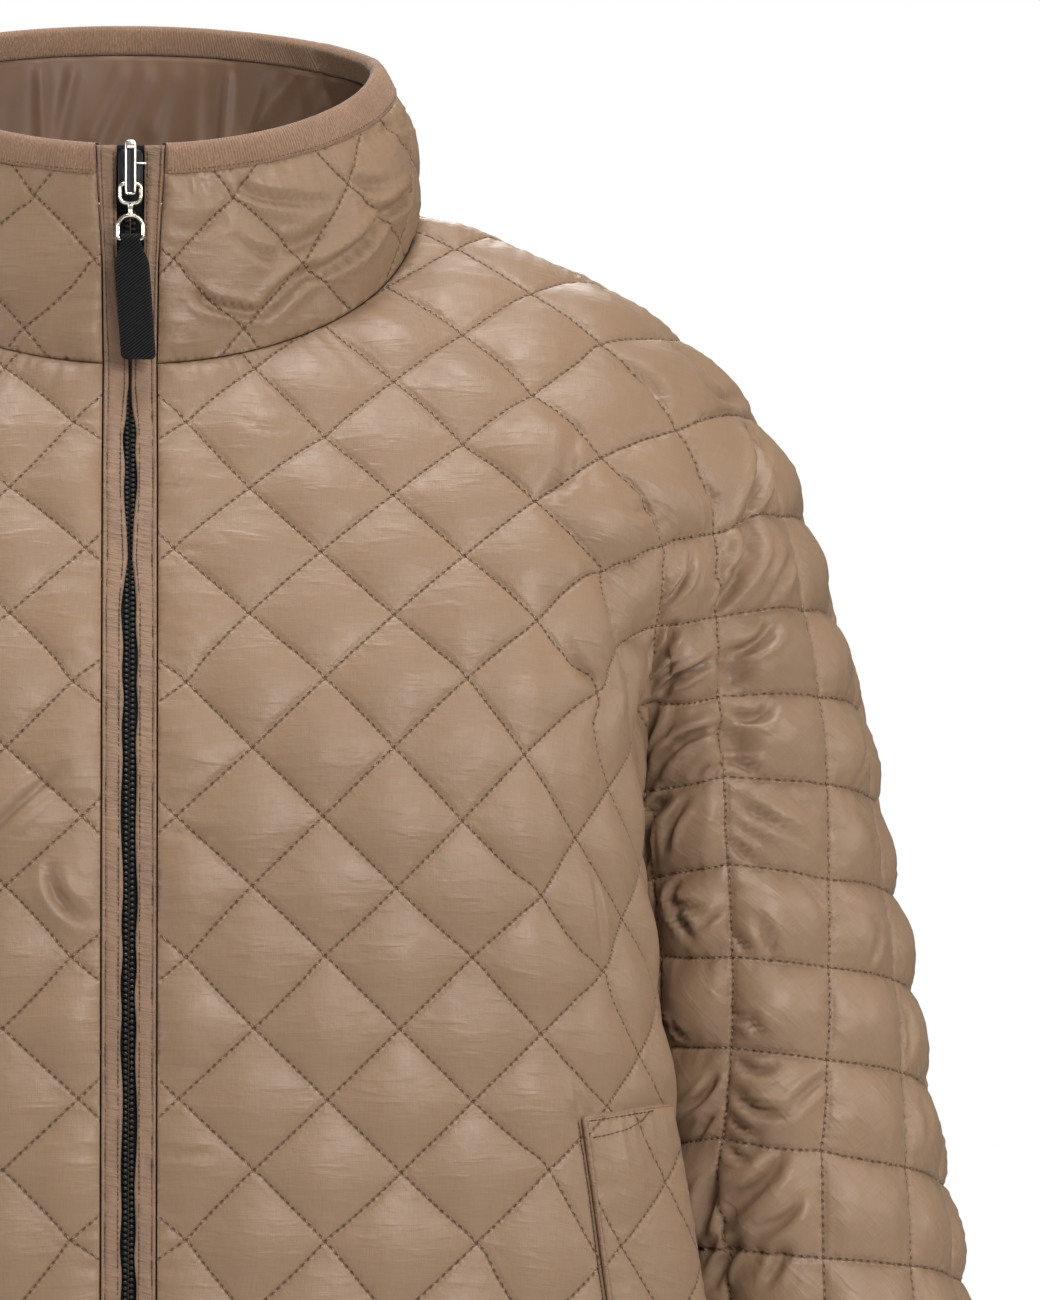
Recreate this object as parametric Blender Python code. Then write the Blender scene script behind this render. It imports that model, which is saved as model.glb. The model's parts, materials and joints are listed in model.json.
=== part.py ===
"""Quilted cape jacket with cape sleeves, stand collar and front zip, worn pose, hollow.

Metres, +Z up, the front faces -Y, the wearer's left is +X. The origin is the middle of the
neck at the height of the side neck point, where the garment hangs on the wearer's shoulders.

One surface gives the cloth its form. A row of RINGS is one ring round the garment, from the
collar's top edge down to the hem and the cuffs. Each ring is drawn for the left half, from
centre front round the overarm line to centre back, and the right half is its mirror. Down to
the underarm a ring goes round body and sleeve together, with a fold between them. Below it
the panels are slit, and the ring is a body ring and a sleeve ring.
"""

import math

import bmesh
import bpy
import numpy as np

# ---------------------------------------------------------------- driving sizes
GAP = 0.0003             # between neighbouring solids
SEAM_HALF = 0.0002       # each panel's edge stays this far from the seam line
QUILT_WALL = 0.003       # quilted cloth: shell, wadding, shell
PLACKET_WALL = 0.002     # folded strip of shell cloth beside the zip
LINING_WALL = 0.001
TAPE_WALL = 0.001
BINDING_WALL = 0.005     # elastic binding round the collar's top edge
BINDING_PROUD = 0.0005
WELT_WALL = 0.0025
PLACKET_EDGE = 0.0120    # centre front to the placket strip's outer edge
PANEL_EDGE = 0.0124      # centre front to the quilted panel's edge
TAPE_EDGE = 0.0105       # centre front to the zip tape's outer edge

# ---------------------------------------------------------------- the rings
# front_z, front_y    the centre front line
# back_z, back_y      the centre back line
# outer_x, y, z       the overarm line, which is the outline seen from the front
# bulge               exponent of the plain ring: 2 is an ellipse, more is squarer
# rise                how the ring climbs from the centre line to the overarm line
RING_COLUMNS = ("front_z", "front_y", "back_z", "back_y",
                "outer_x", "outer_y", "outer_z", "bulge", "rise")
RINGS = (
    (0.0165, -0.0905, 0.0806, 0.0810, 0.0945, 0.000, 0.0580, 2.00, 1.1),    # collar's top edge
    (0.0063, -0.0895, 0.0700, 0.0815, 0.1005, 0.000, 0.0470, 2.00, 1.1),    # under the binding
    (-0.0150, -0.0880, 0.0500, 0.0810, 0.1070, 0.000, 0.0310, 2.00, 1.1),
    (-0.0400, -0.0865, 0.0300, 0.0800, 0.1095, 0.000, 0.0140, 2.00, 1.0),
    (-0.0636, -0.0850, 0.0120, 0.0780, 0.1080, 0.000, 0.0000, 2.00, 1.0),   # neck seam
    (-0.0900, -0.0985, -0.0150, 0.0900, 0.1290, 0.000, -0.0045, 2.05, 1.3),
    (-0.1180, -0.1120, -0.0500, 0.0990, 0.1520, 0.000, -0.0150, 2.10, 1.6),
    (-0.1470, -0.1245, -0.0850, 0.1070, 0.1780, 0.000, -0.0265, 2.15, 1.8),
    (-0.1750, -0.1350, -0.1200, 0.1130, 0.2040, 0.000, -0.0440, 2.20, 2.0),  # shoulder
    (-0.2030, -0.1430, -0.1550, 0.1170, 0.2270, 0.000, -0.0660, 2.30, 2.0),
    (-0.2280, -0.1480, -0.1850, 0.1190, 0.2440, 0.000, -0.0910, 2.30, 2.0),
    (-0.2520, -0.1510, -0.2150, 0.1200, 0.2555, 0.000, -0.1160, 2.30, 2.0),
    (-0.2760, -0.1530, -0.2450, 0.1200, 0.2630, 0.000, -0.1420, 2.30, 2.0),
    (-0.3000, -0.1540, -0.2780, 0.1190, 0.2715, 0.000, -0.1680, 2.30, 2.0),
    (-0.3230, -0.1545, -0.3120, 0.1180, 0.2785, 0.000, -0.1960, 2.30, 2.0),
    (-0.3460, -0.1550, -0.3460, 0.1170, 0.2855, 0.000, -0.2400, 2.30, 2.0),
    (-0.3700, -0.1550, -0.3700, 0.1160, 0.2945, 0.000, -0.2870, 2.30, 2.0),  # underarm
    (-0.4050, -0.1550, -0.4050, 0.1160, 0.3035, -0.002, -0.3380, 2.30, 2.0),
    (-0.4400, -0.1545, -0.4400, 0.1170, 0.3120, -0.004, -0.3900, 2.30, 2.0),
    (-0.4970, -0.1540, -0.4970, 0.1190, 0.3235, -0.008, -0.4600, 2.30, 2.0),
    (-0.5680, -0.1540, -0.5680, 0.1220, 0.3360, -0.014, -0.5300, 2.30, 2.0),
    (-0.6400, -0.1540, -0.6400, 0.1250, 0.3480, -0.020, -0.6000, 2.30, 2.0),  # hem and cuff
)
TOP, BAND, NECK, SHOULDER, UNDERARM, HEM = 0, 1, 4, 8, 16, 21

# The fold between body and sleeve, a row for each ring from the shoulder down.
# folded              0 plain ring, 1 body and sleeve parted by the fold
# fold_x, fold_y      crest of the fold where the front turns back beside the sleeve
# valley              degrees round the sleeve from its inner side to the bottom of the fold
# sleeve_w, sleeve_d  half width and half depth of the sleeve
# side_x              the body's side, below the underarm
# follow              1 the body's ring climbs with the sleeve, 0 it is level
FOLD_COLUMNS = ("folded", "fold_x", "fold_y", "valley",
                "sleeve_w", "sleeve_d", "side_x", "follow")
FOLDS = (
    (0.00, 0.1710, -0.110, 80, 0.0470, 0.0800, 0.1855, 1.00),
    (0.15, 0.1720, -0.110, 80, 0.0470, 0.0800, 0.1855, 1.00),
    (0.40, 0.1740, -0.108, 78, 0.0480, 0.0800, 0.1855, 1.00),
    (0.75, 0.1785, -0.106, 72, 0.0490, 0.0795, 0.1855, 1.00),
    (1.00, 0.1820, -0.104, 62, 0.0500, 0.0790, 0.1855, 1.00),
    (1.00, 0.1850, -0.102, 51, 0.0515, 0.0790, 0.1855, 1.00),
    (1.00, 0.1880, -0.100, 38, 0.0525, 0.0785, 0.1855, 1.00),
    (1.00, 0.1925, -0.098, 21, 0.0535, 0.0780, 0.1855, 1.00),
    (1.00, 0.1980, -0.096, 0, 0.0545, 0.0780, 0.1855, 1.00),
    (1.00, 0.2045, -0.094, 0, 0.0560, 0.0770, 0.1820, 0.90),
    (1.00, 0.2105, -0.092, 0, 0.0540, 0.0740, 0.1820, 0.75),
    (1.00, 0.2165, -0.088, 0, 0.0510, 0.0680, 0.1900, 0.50),
    (1.00, 0.2205, -0.082, 0, 0.0470, 0.0600, 0.2030, 0.25),
    (1.00, 0.2225, -0.075, 0, 0.0425, 0.0520, 0.2120, 0.00),
)
BACK_FOLD_IN = 0.004      # the back's fold crest lies this much nearer the centre
BACK_FOLD_SHARE = 0.64    # and at this share of the back's depth
BACK_SLEEVE = 0.94        # behind, the sleeve is a little shallower
BACK_VALLEY_OPEN = 1.12   # and its valley a little wider

# Named places along a half ring, from the centre line to the overarm line, and their
# angles: on the plain ring for all of them, on the folded body's arc up to the fold.
WELT_EDGE, FOLD, VALLEY, OVERARM = 3, 4, 6, 10
PLAIN_ANGLES = (0, 10, 21, 31.5, 40, 42, 44, 48, 53, 70, 90)
BODY_ANGLES = (0, 17, 35, 54, 90)
BODY_BULGE = 2.4

# ---------------------------------------------------------------- the facets
FRONT_STEPS = (2, 2, 2, 3, 1, 1, 1, 1, 2, 2)
BACK_STEPS = (2, 1, 1, 2, 1, 1, 1, 1, 2, 2)
COLLAR_PLACES = (1, 2, 3, 4)
UPPER_PLACES = (4, 5, 6, 7, 8, 9, 10, 11, 12, 13, 14, 15, 15.5, 16)
LOWER_PLACES = (16.4, 17, 18, 19, 20, 21)
WELT_PLACES = (16, 16.4, 17, 18, 19)
WELT_PAST_FOLD = 1        # columns that the pocket welt goes on past the fold's crest

# The gap between the placket strips, down the front: height, half the gap.
PLACKET_GAPS = (
    (0.020, 0.0050),
    (-0.020, 0.0050),
    (-0.045, 0.0035),
    (-0.060, 0.0006),
    (-0.072, 0.0004),
    (-0.090, 0.0022),
    (-0.110, 0.0022),
    (-0.137, 0.0009),
    (-0.155, 0.0026),
    (-0.640, 0.0025),
)

# ---------------------------------------------------------------- the zip's slider and pull
PULL_Y = -0.0958          # the plane of the link and the ring
PIVOT_Z = 0.0020          # the link's upper bar, which turns in the rail
LINK_WIRE = 0.0007        # radius
LINK_HALF_WIDTH = 0.0038
LINK_DROP = 0.0070        # from the upper bar to the lower one
LINK_CORNERS = 0.0012, 0.0020     # radii at the top and at the foot
STEM_HALF_WIDTH, STEM_HALF_DEPTH = 0.0009, 0.0006
RING_TOP_Z = -0.0096
RING_BAR_Z = -0.0183      # the ring's lower bar, inside the strap's loop
RING_HALF_WIDTH = 0.0046
RING_CORNERS = 0.0042, 0.0010
RAIL_HALF_WIDTH = 0.0021
RAIL_TOP_Z, RAIL_FOOT_Z = 0.0179, -0.0021
RAIL_FRONT_Y, RAIL_BACK_Y = -0.0985, -0.0972
RAIL_END = 0.0025         # the rail's solid ends, above and below the window
RAIL_ROOT = 0.001         # how deep the rail's ends are let into the slider
SLIDER_FRONT_Y, SLIDER_BACK_Y = -0.0945, -0.0887
SLIDER_HALF_WIDTH = 0.0045
SLIDER_TOP_Z, SLIDER_FOOT_Z = 0.0150, -0.0060
STRAP_FOOT_Z = -0.0626
STRAP_WALL = 0.0011
STRAP_HALF_WIDTH = 0.0064
STRAP_NECK_HALF_WIDTH = 0.0034
STRAP_LEAN = 0.07         # sideways for each unit of height
STRAP_LOOP = 0.00105      # radius inside the loop round the ring's bar
STRAP_LOOP_ANGLES = range(-50, 231, 28)
STRAP_NECK = 0.004        # from the bar down to where the two ends meet
STRAP_TAPER = 0.010       # from the bar down to the full width
STRAP_ROWS = 7            # along each end


def catmull_rom(before, start, end, after, t):
    """The smooth curve from start to end, t from 0 to 1."""
    return 0.5 * (
        2 * start
        + (end - before) * t
        + (2 * before - 5 * start + 4 * end - after) * t**2
        + (3 * start - before - 3 * end + after) * t**3
    )


def table_at(table, row, first, last):
    """The table's values between two rows, smooth, with no look past first and last."""
    values = np.array(table)
    row = min(max(row, first), last)
    below = min(int(row), last - 1)
    before = values[max(below - 1, first)]
    after = values[min(below + 2, last)]
    return catmull_rom(before, values[below], values[below + 1], after, row - below)


def section_at(place):
    """All columns at any place from TOP to HEM. Collar and body bend where they are seamed."""
    first, last = (TOP, NECK) if place < NECK else (NECK, HEM)
    section = dict(zip(RING_COLUMNS, table_at(RINGS, place, first, last)))
    folds = table_at(FOLDS, place - SHOULDER, 0, HEM - SHOULDER)
    section.update(zip(FOLD_COLUMNS, folds))
    section["slit"] = place > UNDERARM
    return section


def arc(width, middle, end, bulge, angles):
    """Points of a quarter superellipse from (0, middle) to (width, end)."""
    points = []
    for degrees in angles:
        t = math.radians(degrees)
        across = math.sin(t) ** (2 / bulge)
        ahead = max(math.cos(t), 0.0) ** (2 / bulge)
        points.append((width * across, end + (middle - end) * ahead))
    return points


def half_ring(s, back):
    """The named places of the front or back half ring as (x, y), and the sleeve's own inner
    point, which parts from the body's side below the underarm."""
    centre_y = s["back_y"] if back else s["front_y"]
    plain = arc(s["outer_x"], centre_y, s["outer_y"], s["bulge"], PLAIN_ANGLES)
    fold_x = s["fold_x"] - (BACK_FOLD_IN if back else 0)
    fold_y = centre_y * BACK_FOLD_SHARE if back else s["fold_y"]
    body = arc(fold_x, centre_y, fold_y, BODY_BULGE, BODY_ANGLES)
    reach = s["sleeve_d"] * (BACK_SLEEVE if back else -1)
    valley = max(s["valley"], 0) * (BACK_VALLEY_OPEN if back else 1)
    sleeve = []
    for degrees in (valley, (valley + 90) / 2, 90, 135, 180):
        t = math.radians(degrees)
        x = s["outer_x"] - s["sleeve_w"] * (1 + math.cos(t))
        sleeve.append((x, s["outer_y"] + reach * math.sin(t)))
    side = (s["side_x"], s["outer_y"]) if s["slit"] else sleeve[0]
    inside_fold = tuple((a + b) / 2 for a, b in zip(body[-1], side))
    folded = body + [inside_fold, side] + sleeve[1:]
    share = min(max(s["folded"], 0), 1)
    places = (1 - share) * np.array(plain) + share * np.array(folded)
    places[0, 0] = 0 if back else PANEL_EDGE
    return places, np.array(sleeve[0])


def height(s, x, back, body):
    """How high the ring runs at distance x from the centre line."""
    centre_z = s["back_z"] if back else s["front_z"]
    share = min(abs(x) / s["outer_x"], 1)
    climb = 1 - (1 - share**2) ** (s["rise"] / 2)
    if body:
        climb *= s["follow"]
    return centre_z + (s["outer_z"] - centre_z) * climb


def smooth_line(places, before, after, steps):
    """Points on the smooth line through the places, with steps[i] pieces in span i."""
    line = [places[0]]
    padded = np.vstack([before, places, after])
    for span, count in enumerate(steps):
        a, b, c, d = padded[span:span + 4]
        line += [catmull_rom(a, b, c, d, k / count) for k in range(1, count + 1)]
    return line


def ring_points(place, steps, back=False, part="whole"):
    """A half ring's points in space. Below the underarm part is body or sleeve."""
    s = section_at(place)
    near, near_sleeve = half_ring(s, back)
    far, _ = half_ring(s, not back)
    start = (2 * near[0][0] - near[1][0], near[1][1])
    if part == "body":
        line = smooth_line(near[:VALLEY + 1], start, far[VALLEY - 1], steps[:VALLEY])
    elif part == "sleeve":
        places = np.vstack([near_sleeve, near[VALLEY + 1:]])
        line = smooth_line(places, far[VALLEY + 1], far[OVERARM - 1], steps[VALLEY:])
    else:
        line = smooth_line(near, start, far[OVERARM - 1], steps)
    return [np.array((x, y, height(s, x, back, part == "body"))) for x, y in line]


# ---------------------------------------------------------------- sheets
class Sheet:
    """Points and quads with no thickness yet. Quads show their outer side."""

    def __init__(self):
        self.points = []
        self.quads = []
        self.rows = {}

    def add_row(self, key, points):
        first = len(self.points)
        self.points += [np.array(p) for p in points]
        self.rows[key] = list(range(first, first + len(points)))
        return self.rows[key]

    def bridge(self, upper, lower, back=False):
        for i in range(len(upper) - 1):
            quad = (upper[i], lower[i], lower[i + 1], upper[i + 1])
            self.quads.append(turned(quad) if back else quad)


def panel(back):
    """Front or back with its half of the sleeve, for the wearer's left side."""
    steps = BACK_STEPS if back else FRONT_STEPS
    split = sum(steps[:VALLEY])
    sheet = Sheet()
    above = None
    for place in UPPER_PLACES:
        row = sheet.add_row(place, ring_points(place, steps, back))
        if above:
            sheet.bridge(above, row, back)
        above = row
    uppers = {"body": above[:split + 1], "sleeve": above[split:]}
    for place in LOWER_PLACES:
        for part in ("body", "sleeve"):
            row = sheet.add_row((part, place), ring_points(place, steps, back, part))
            sheet.bridge(uppers[part], row, back)
            uppers[part] = row
    return sheet


def collar_half(back, places):
    """The stand from centre front to the side, or from centre back to the side."""
    sheet = Sheet()
    steps = BACK_STEPS if back else FRONT_STEPS
    rows = [sheet.add_row(place, ring_points(place, steps, back)) for place in places]
    for upper, lower in zip(rows, rows[1:]):
        sheet.bridge(upper, lower, back)
    return sheet


def mirrored(sheet):
    other = Sheet()
    other.points = [p * (-1, 1, 1) for p in sheet.points]
    other.quads = [turned(quad) for quad in sheet.quads]
    return other


def key_of(point):
    """A point as whole micrometres. The offset keeps round sizes away from a step."""
    return tuple(np.floor(point * 1e6 + 0.37).astype(int))


def turned(quad):
    """The quad seen from its other side, with the same diagonal first."""
    a, b, c, d = quad
    return (a, d, c, b)


def joined(sheets):
    """One sheet, with points that lie on each other made one."""
    whole, known = Sheet(), {}
    for sheet in sheets:
        new = []
        for point in sheet.points:
            key = key_of(point)
            if key not in known:
                known[key] = len(whole.points)
                whole.points.append(point)
            new.append(known[key])
        whole.quads += [tuple(new[i] for i in quad) for quad in sheet.quads]
    return whole


def shared_normals(sheets):
    """The outward direction at every point, one for all the sheets that meet there."""
    total = {}
    for sheet in sheets:
        for quad in sheet.quads:
            a, b, c, d = (sheet.points[i] for i in quad)
            normal = np.cross(c - a, d - b)
            for i in quad:
                key = key_of(sheet.points[i])
                total[key] = total.get(key, 0) + normal
    return {key: normal / np.linalg.norm(normal) for key, normal in total.items()}


def border(sheet):
    """The directed edges that only one quad has."""
    sides = [(quad[k], quad[(k + 1) % 4]) for quad in sheet.quads for k in range(4)]
    known = set(sides)
    return [side for side in sides if side[::-1] not in known]


def drawn_in(sheet):
    """The sheet's points, with its border drawn in from the seams by SEAM_HALF."""
    middle_of = {}
    for quad in sheet.quads:
        middle = sum(sheet.points[i] for i in quad) / 4
        for k in range(4):
            middle_of[quad[k], quad[(k + 1) % 4]] = middle
    ways = {}
    for a, b in border(sheet):
        along = sheet.points[b] - sheet.points[a]
        along = along / np.linalg.norm(along)
        way = middle_of[a, b] - sheet.points[a]
        way = way - along * (way @ along)
        for i in (a, b):
            ways[i] = ways.get(i, 0) + way / np.linalg.norm(way)
    points = [np.array(p) for p in sheet.points]
    for i, way in ways.items():
        size = np.linalg.norm(way)
        points[i] = points[i] + way * (2 * SEAM_HALF / (size * max(size, 1)))
    return points


def wall(name, sheet, normals, outer, inner, material, points=None):
    """A closed solid: the sheet moved out, the sheet moved in, and the rim between them."""
    points = sheet.points if points is None else points
    out = [normals[key_of(p)] for p in sheet.points]
    count = len(points)
    verts = [p + n * outer for p, n in zip(points, out)]
    verts += [p + n * inner for p, n in zip(points, out)]
    faces = []
    for a, b, c, d in sheet.quads:
        faces += [(a, b, c), (a, c, d)]
        faces += [(i + count, k + count, j + count) for i, j, k in faces[-2:]]
    for a, b in border(sheet):
        # Both neighbours at a seam split its rim along the same diagonal.
        if key_of(sheet.points[a]) < key_of(sheet.points[b]):
            faces += [(b, a, b + count), (a, a + count, b + count)]
        else:
            faces += [(b, a, a + count), (b, a + count, b + count)]
    return add_object(name, verts, faces, material)


def add_object(name, verts, faces, material):
    mesh = bpy.data.meshes.new(name)
    mesh.from_pydata([tuple(v) for v in verts], [], faces)
    loose = bmesh.new()
    loose.from_mesh(mesh)
    unused = [v for v in loose.verts if not v.link_faces]
    bmesh.ops.delete(loose, geom=unused, context="VERTS")
    bmesh.ops.recalc_face_normals(loose, faces=loose.faces)
    loose.to_mesh(mesh)
    loose.free()
    mesh.shade_smooth()
    mesh.set_sharp_from_angle(angle=math.radians(40))
    mesh.materials.append(material)
    obj = bpy.data.objects.new(name, mesh)
    bpy.context.scene.collection.objects.link(obj)
    return obj


def new_material(name, colour, roughness, metallic=0.0):
    material = bpy.data.materials.new(name)
    material.use_nodes = True
    shader = material.node_tree.nodes["Principled BSDF"]
    shader.inputs["Base Color"].default_value = (*colour, 1)
    shader.inputs["Roughness"].default_value = roughness
    shader.inputs["Metallic"].default_value = metallic
    material.diffuse_color = (*colour, 1)
    return material


# ---------------------------------------------------------------- the pieces
def placket_edge_line():
    """(y, z) down the centre front, a row for each ring."""
    line = []
    for place in (TOP,) + COLLAR_PLACES[:-1] + UPPER_PLACES + LOWER_PLACES:
        s = section_at(place)
        line.append((s["front_y"], height(s, PANEL_EDGE, False, place > UNDERARM)))
    return line


def strip(inner_edge, outer_edge):
    """A flat strip down the wearer's left of the centre front."""
    sheet = Sheet()
    above = None
    for y, z in placket_edge_line():
        row = sheet.add_row(z, [(inner_edge(z), y, z), (outer_edge, y, z)])
        if above:
            sheet.bridge(above, row)
        above = row
    return sheet


def placket_gap(z):
    zs, gaps = zip(*PLACKET_GAPS[::-1])
    return float(np.interp(z, zs, gaps))


def make_cloth():
    fabric = new_material("quilted_nylon", (0.39, 0.27, 0.19), 0.45)
    facing = new_material("placket_nylon", (0.40, 0.26, 0.18), 0.55)
    elastic = new_material("ribbed_binding", (0.33, 0.21, 0.14), 0.85)
    satin = new_material("satin_lining", (0.30, 0.19, 0.13), 0.40)
    black = new_material("black_tape", (0.012, 0.012, 0.013), 0.8)

    left_front = panel(back=False)
    left_back = panel(back=True)
    back = joined([left_back, mirrored(left_back)])
    quarters = [collar_half(False, COLLAR_PLACES), collar_half(True, COLLAR_PLACES)]
    collar = joined(quarters + [mirrored(q) for q in quarters])
    quarters = [collar_half(False, (TOP, BAND)), collar_half(True, (TOP, BAND))]
    binding = joined(quarters + [mirrored(q) for q in quarters])
    fronts = {"left": left_front, "right": mirrored(left_front)}
    normals = shared_normals([*fronts.values(), back, collar, binding])

    for side, front in fronts.items():
        wall("front_" + side, front, normals, 0, -QUILT_WALL, fabric, drawn_in(front))
    wall("back", back, normals, 0, -QUILT_WALL, fabric, drawn_in(back))
    wall("collar", collar, normals, 0, -QUILT_WALL, fabric, drawn_in(collar))
    lining_face = -(QUILT_WALL + GAP)
    wall("collar_lining", collar, normals, lining_face, lining_face - LINING_WALL,
         satin, drawn_in(collar))
    wall("collar_binding", binding, normals, BINDING_PROUD, BINDING_PROUD - BINDING_WALL,
         elastic, drawn_in(binding))

    tape_face = -(PLACKET_WALL + GAP)
    strips = {
        "placket": (strip(placket_gap, PLACKET_EDGE), 0, -PLACKET_WALL, facing),
        "zip_tape": (strip(lambda z: GAP / 2, TAPE_EDGE), tape_face, tape_face - TAPE_WALL, black),
    }
    for name, (left, outer, inner, material) in strips.items():
        for side, sheet in (("left", left), ("right", mirrored(left))):
            wall(name + "_" + side, sheet, shared_normals([sheet]), outer, inner, material)

    make_welts(fronts, normals, fabric)


def make_welts(fronts, normals, material):
    """A quilted welt on each front, over the slanted pocket mouth."""
    first = sum(FRONT_STEPS[:WELT_EDGE])
    last = sum(FRONT_STEPS[:FOLD]) + WELT_PAST_FOLD
    rows = fronts["left"].rows
    for side, front in fronts.items():
        welt = Sheet()
        above = None
        for place in WELT_PLACES:
            row = rows[place] if place in rows else rows["body", place]
            row = welt.add_row(place, [front.points[i] for i in row[first:last + 1]])
            if above:
                welt.bridge(above, row, back=side == "right")
            above = row
        wall("pocket_welt_" + side, welt, normals, GAP + WELT_WALL, GAP, material)


def box(low, high):
    """Corners and faces of a box between two corners."""
    xs, ys, zs = zip(low, high)
    verts = [(x, y, z) for x in xs for y in ys for z in zs]
    faces = [(0, 1, 3, 2), (4, 6, 7, 5), (0, 4, 5, 1), (2, 3, 7, 6), (0, 2, 6, 4), (1, 5, 7, 3)]
    return verts, faces


def combine(base, helper, operation):
    """A Boolean of base with a helper that isn't itself part of the model."""
    helper.hide_render = True
    helper.display_type = "WIRE"
    boolean = base.modifiers.new(helper.name, "BOOLEAN")
    boolean.operation = operation
    boolean.object = helper


def make_slider(metal):
    """The slider's body with the rail in front of it, in which the pull's link runs."""
    rail = add_object("zip_slider", *box(
        (-RAIL_HALF_WIDTH, RAIL_FRONT_Y, RAIL_FOOT_Z),
        (RAIL_HALF_WIDTH, SLIDER_FRONT_Y + RAIL_ROOT, RAIL_TOP_Z)), metal)
    window = add_object("rail_window", *box(
        (-2 * RAIL_HALF_WIDTH, RAIL_BACK_Y, RAIL_FOOT_Z + RAIL_END),
        (2 * RAIL_HALF_WIDTH, SLIDER_FRONT_Y, RAIL_TOP_Z - RAIL_END)), metal)
    body = add_object("slider_body", *box(
        (-SLIDER_HALF_WIDTH, SLIDER_FRONT_Y, SLIDER_FOOT_Z),
        (SLIDER_HALF_WIDTH, SLIDER_BACK_Y, SLIDER_TOP_Z)), metal)
    combine(rail, window, "DIFFERENCE")
    combine(rail, body, "UNION")


def ring_tube(path, radius, sides=8):
    """A closed wire along a closed path in the x, z plane."""
    path = np.array(path)
    count = len(path)
    verts, faces = [], []
    for i, (x, z) in enumerate(path):
        along = path[(i + 1) % count] - path[i - 1]
        across = np.array((-along[1], along[0])) / np.linalg.norm(along)
        for k in range(sides):
            t = 2 * math.pi * k / sides
            dx, dz = across * radius * math.cos(t)
            verts.append((x + dx, radius * math.sin(t), z + dz))
    for i in range(count):
        for k in range(sides):
            a, b = i * sides + k, i * sides + (k + 1) % sides
            c, d = ((i + 1) % count) * sides + (k + 1) % sides, ((i + 1) % count) * sides + k
            faces.append((a, b, c, d))
    return verts, faces


def rounded_frame(half_width, top, foot, top_corner, foot_corner, pieces=4):
    """A closed path round a frame with round corners."""
    path = []
    for quarter, (side, up) in enumerate(((1, 1), (-1, 1), (-1, -1), (1, -1))):
        corner = top_corner if up > 0 else foot_corner
        middle_x = side * (half_width - corner)
        middle_z = (top if up > 0 else foot) - up * corner
        start = 90 * quarter
        for k in range(pieces + 1):
            t = math.radians(start + 90 * k / pieces)
            path.append((middle_x + corner * math.cos(t), middle_z + corner * math.sin(t)))
    return path


def make_pull(metal, webbing):
    """The link in the rail, its stem and D ring in one casting, and the strap on the ring."""
    pivot = bpy.data.objects.new("pull_pivot", None)
    pivot.location = (0, PULL_Y, PIVOT_Z)
    bpy.context.scene.collection.objects.link(pivot)
    ring_top, ring_bar = RING_TOP_Z - PIVOT_Z, RING_BAR_Z - PIVOT_Z
    link_path = rounded_frame(LINK_HALF_WIDTH, 0, -LINK_DROP, *LINK_CORNERS)
    link = add_object("zip_pull", *ring_tube(link_path, LINK_WIRE), metal)
    ring_path = rounded_frame(RING_HALF_WIDTH, ring_top, ring_bar, *RING_CORNERS)
    ring = add_object("pull_ring", *ring_tube(ring_path, LINK_WIRE), metal)
    stem = add_object("pull_stem", *box(
        (-STEM_HALF_WIDTH, -STEM_HALF_DEPTH, ring_top),
        (STEM_HALF_WIDTH, STEM_HALF_DEPTH, -LINK_DROP)), metal)
    combine(link, stem, "UNION")
    combine(link, ring, "UNION")
    strap = make_strap(ring_bar, STRAP_FOOT_Z - PIVOT_Z, webbing)
    for obj in (link, ring, stem, strap):
        obj.parent = pivot


def make_strap(bar, foot, webbing):
    """Woven strap, folded round the ring's bar, with both ends down."""
    profile = []
    for z in np.linspace(foot, bar - STRAP_NECK, STRAP_ROWS):
        profile.append((-GAP / 2, z))
    for degrees in STRAP_LOOP_ANGLES:
        t = math.radians(degrees)
        profile.append((-STRAP_LOOP * math.cos(t), bar + STRAP_LOOP * math.sin(t)))
    for z in np.linspace(bar - STRAP_NECK, foot, STRAP_ROWS):
        profile.append((GAP / 2, z))
    sheet = Sheet()
    above = None
    for place, (y, z) in enumerate(profile):
        share = min(max((bar - z) / STRAP_TAPER, 0), 1)
        half = STRAP_NECK_HALF_WIDTH + (STRAP_HALF_WIDTH - STRAP_NECK_HALF_WIDTH) * share
        middle = STRAP_LEAN * max(bar - z, 0)
        row = sheet.add_row(place, [(middle + half * side, y, z) for side in (1, 0, -1)])
        if above:
            sheet.bridge(above, row)
        above = row
    return wall("pull_strap", sheet, shared_normals([sheet]), STRAP_WALL, 0, webbing)


def main():
    for obj in list(bpy.data.objects):
        bpy.data.objects.remove(obj)
    make_cloth()
    metal = new_material("pale_gold_metal", (0.80, 0.74, 0.62), 0.2, 1.0)
    webbing = new_material("black_webbing", (0.010, 0.010, 0.011), 0.75)
    make_slider(metal)
    make_pull(metal, webbing)


main()
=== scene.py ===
# %% [markdown]
# # A quilted cape jacket, worn and hollow
# The jacket is cloth from end to end: two fronts and a back that run on into short wide sleeves,
# a stand collar, a front zip with its strips, and a pocket welt on each side. Its look is its
# quilting: squares sewn through shell, wadding and shell, so that each one rises like a small
# pillow between rows of stitches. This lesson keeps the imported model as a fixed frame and
# dresses it, a piece at a time.

# %% The frame
import json
import math

import bmesh
import bpy
import numpy as np
from mathutils import Matrix, Vector
from mathutils.bvhtree import BVHTree
from mathutils.geometry import delaunay_2d_cdt
from mathutils.kdtree import KDTree

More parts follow.
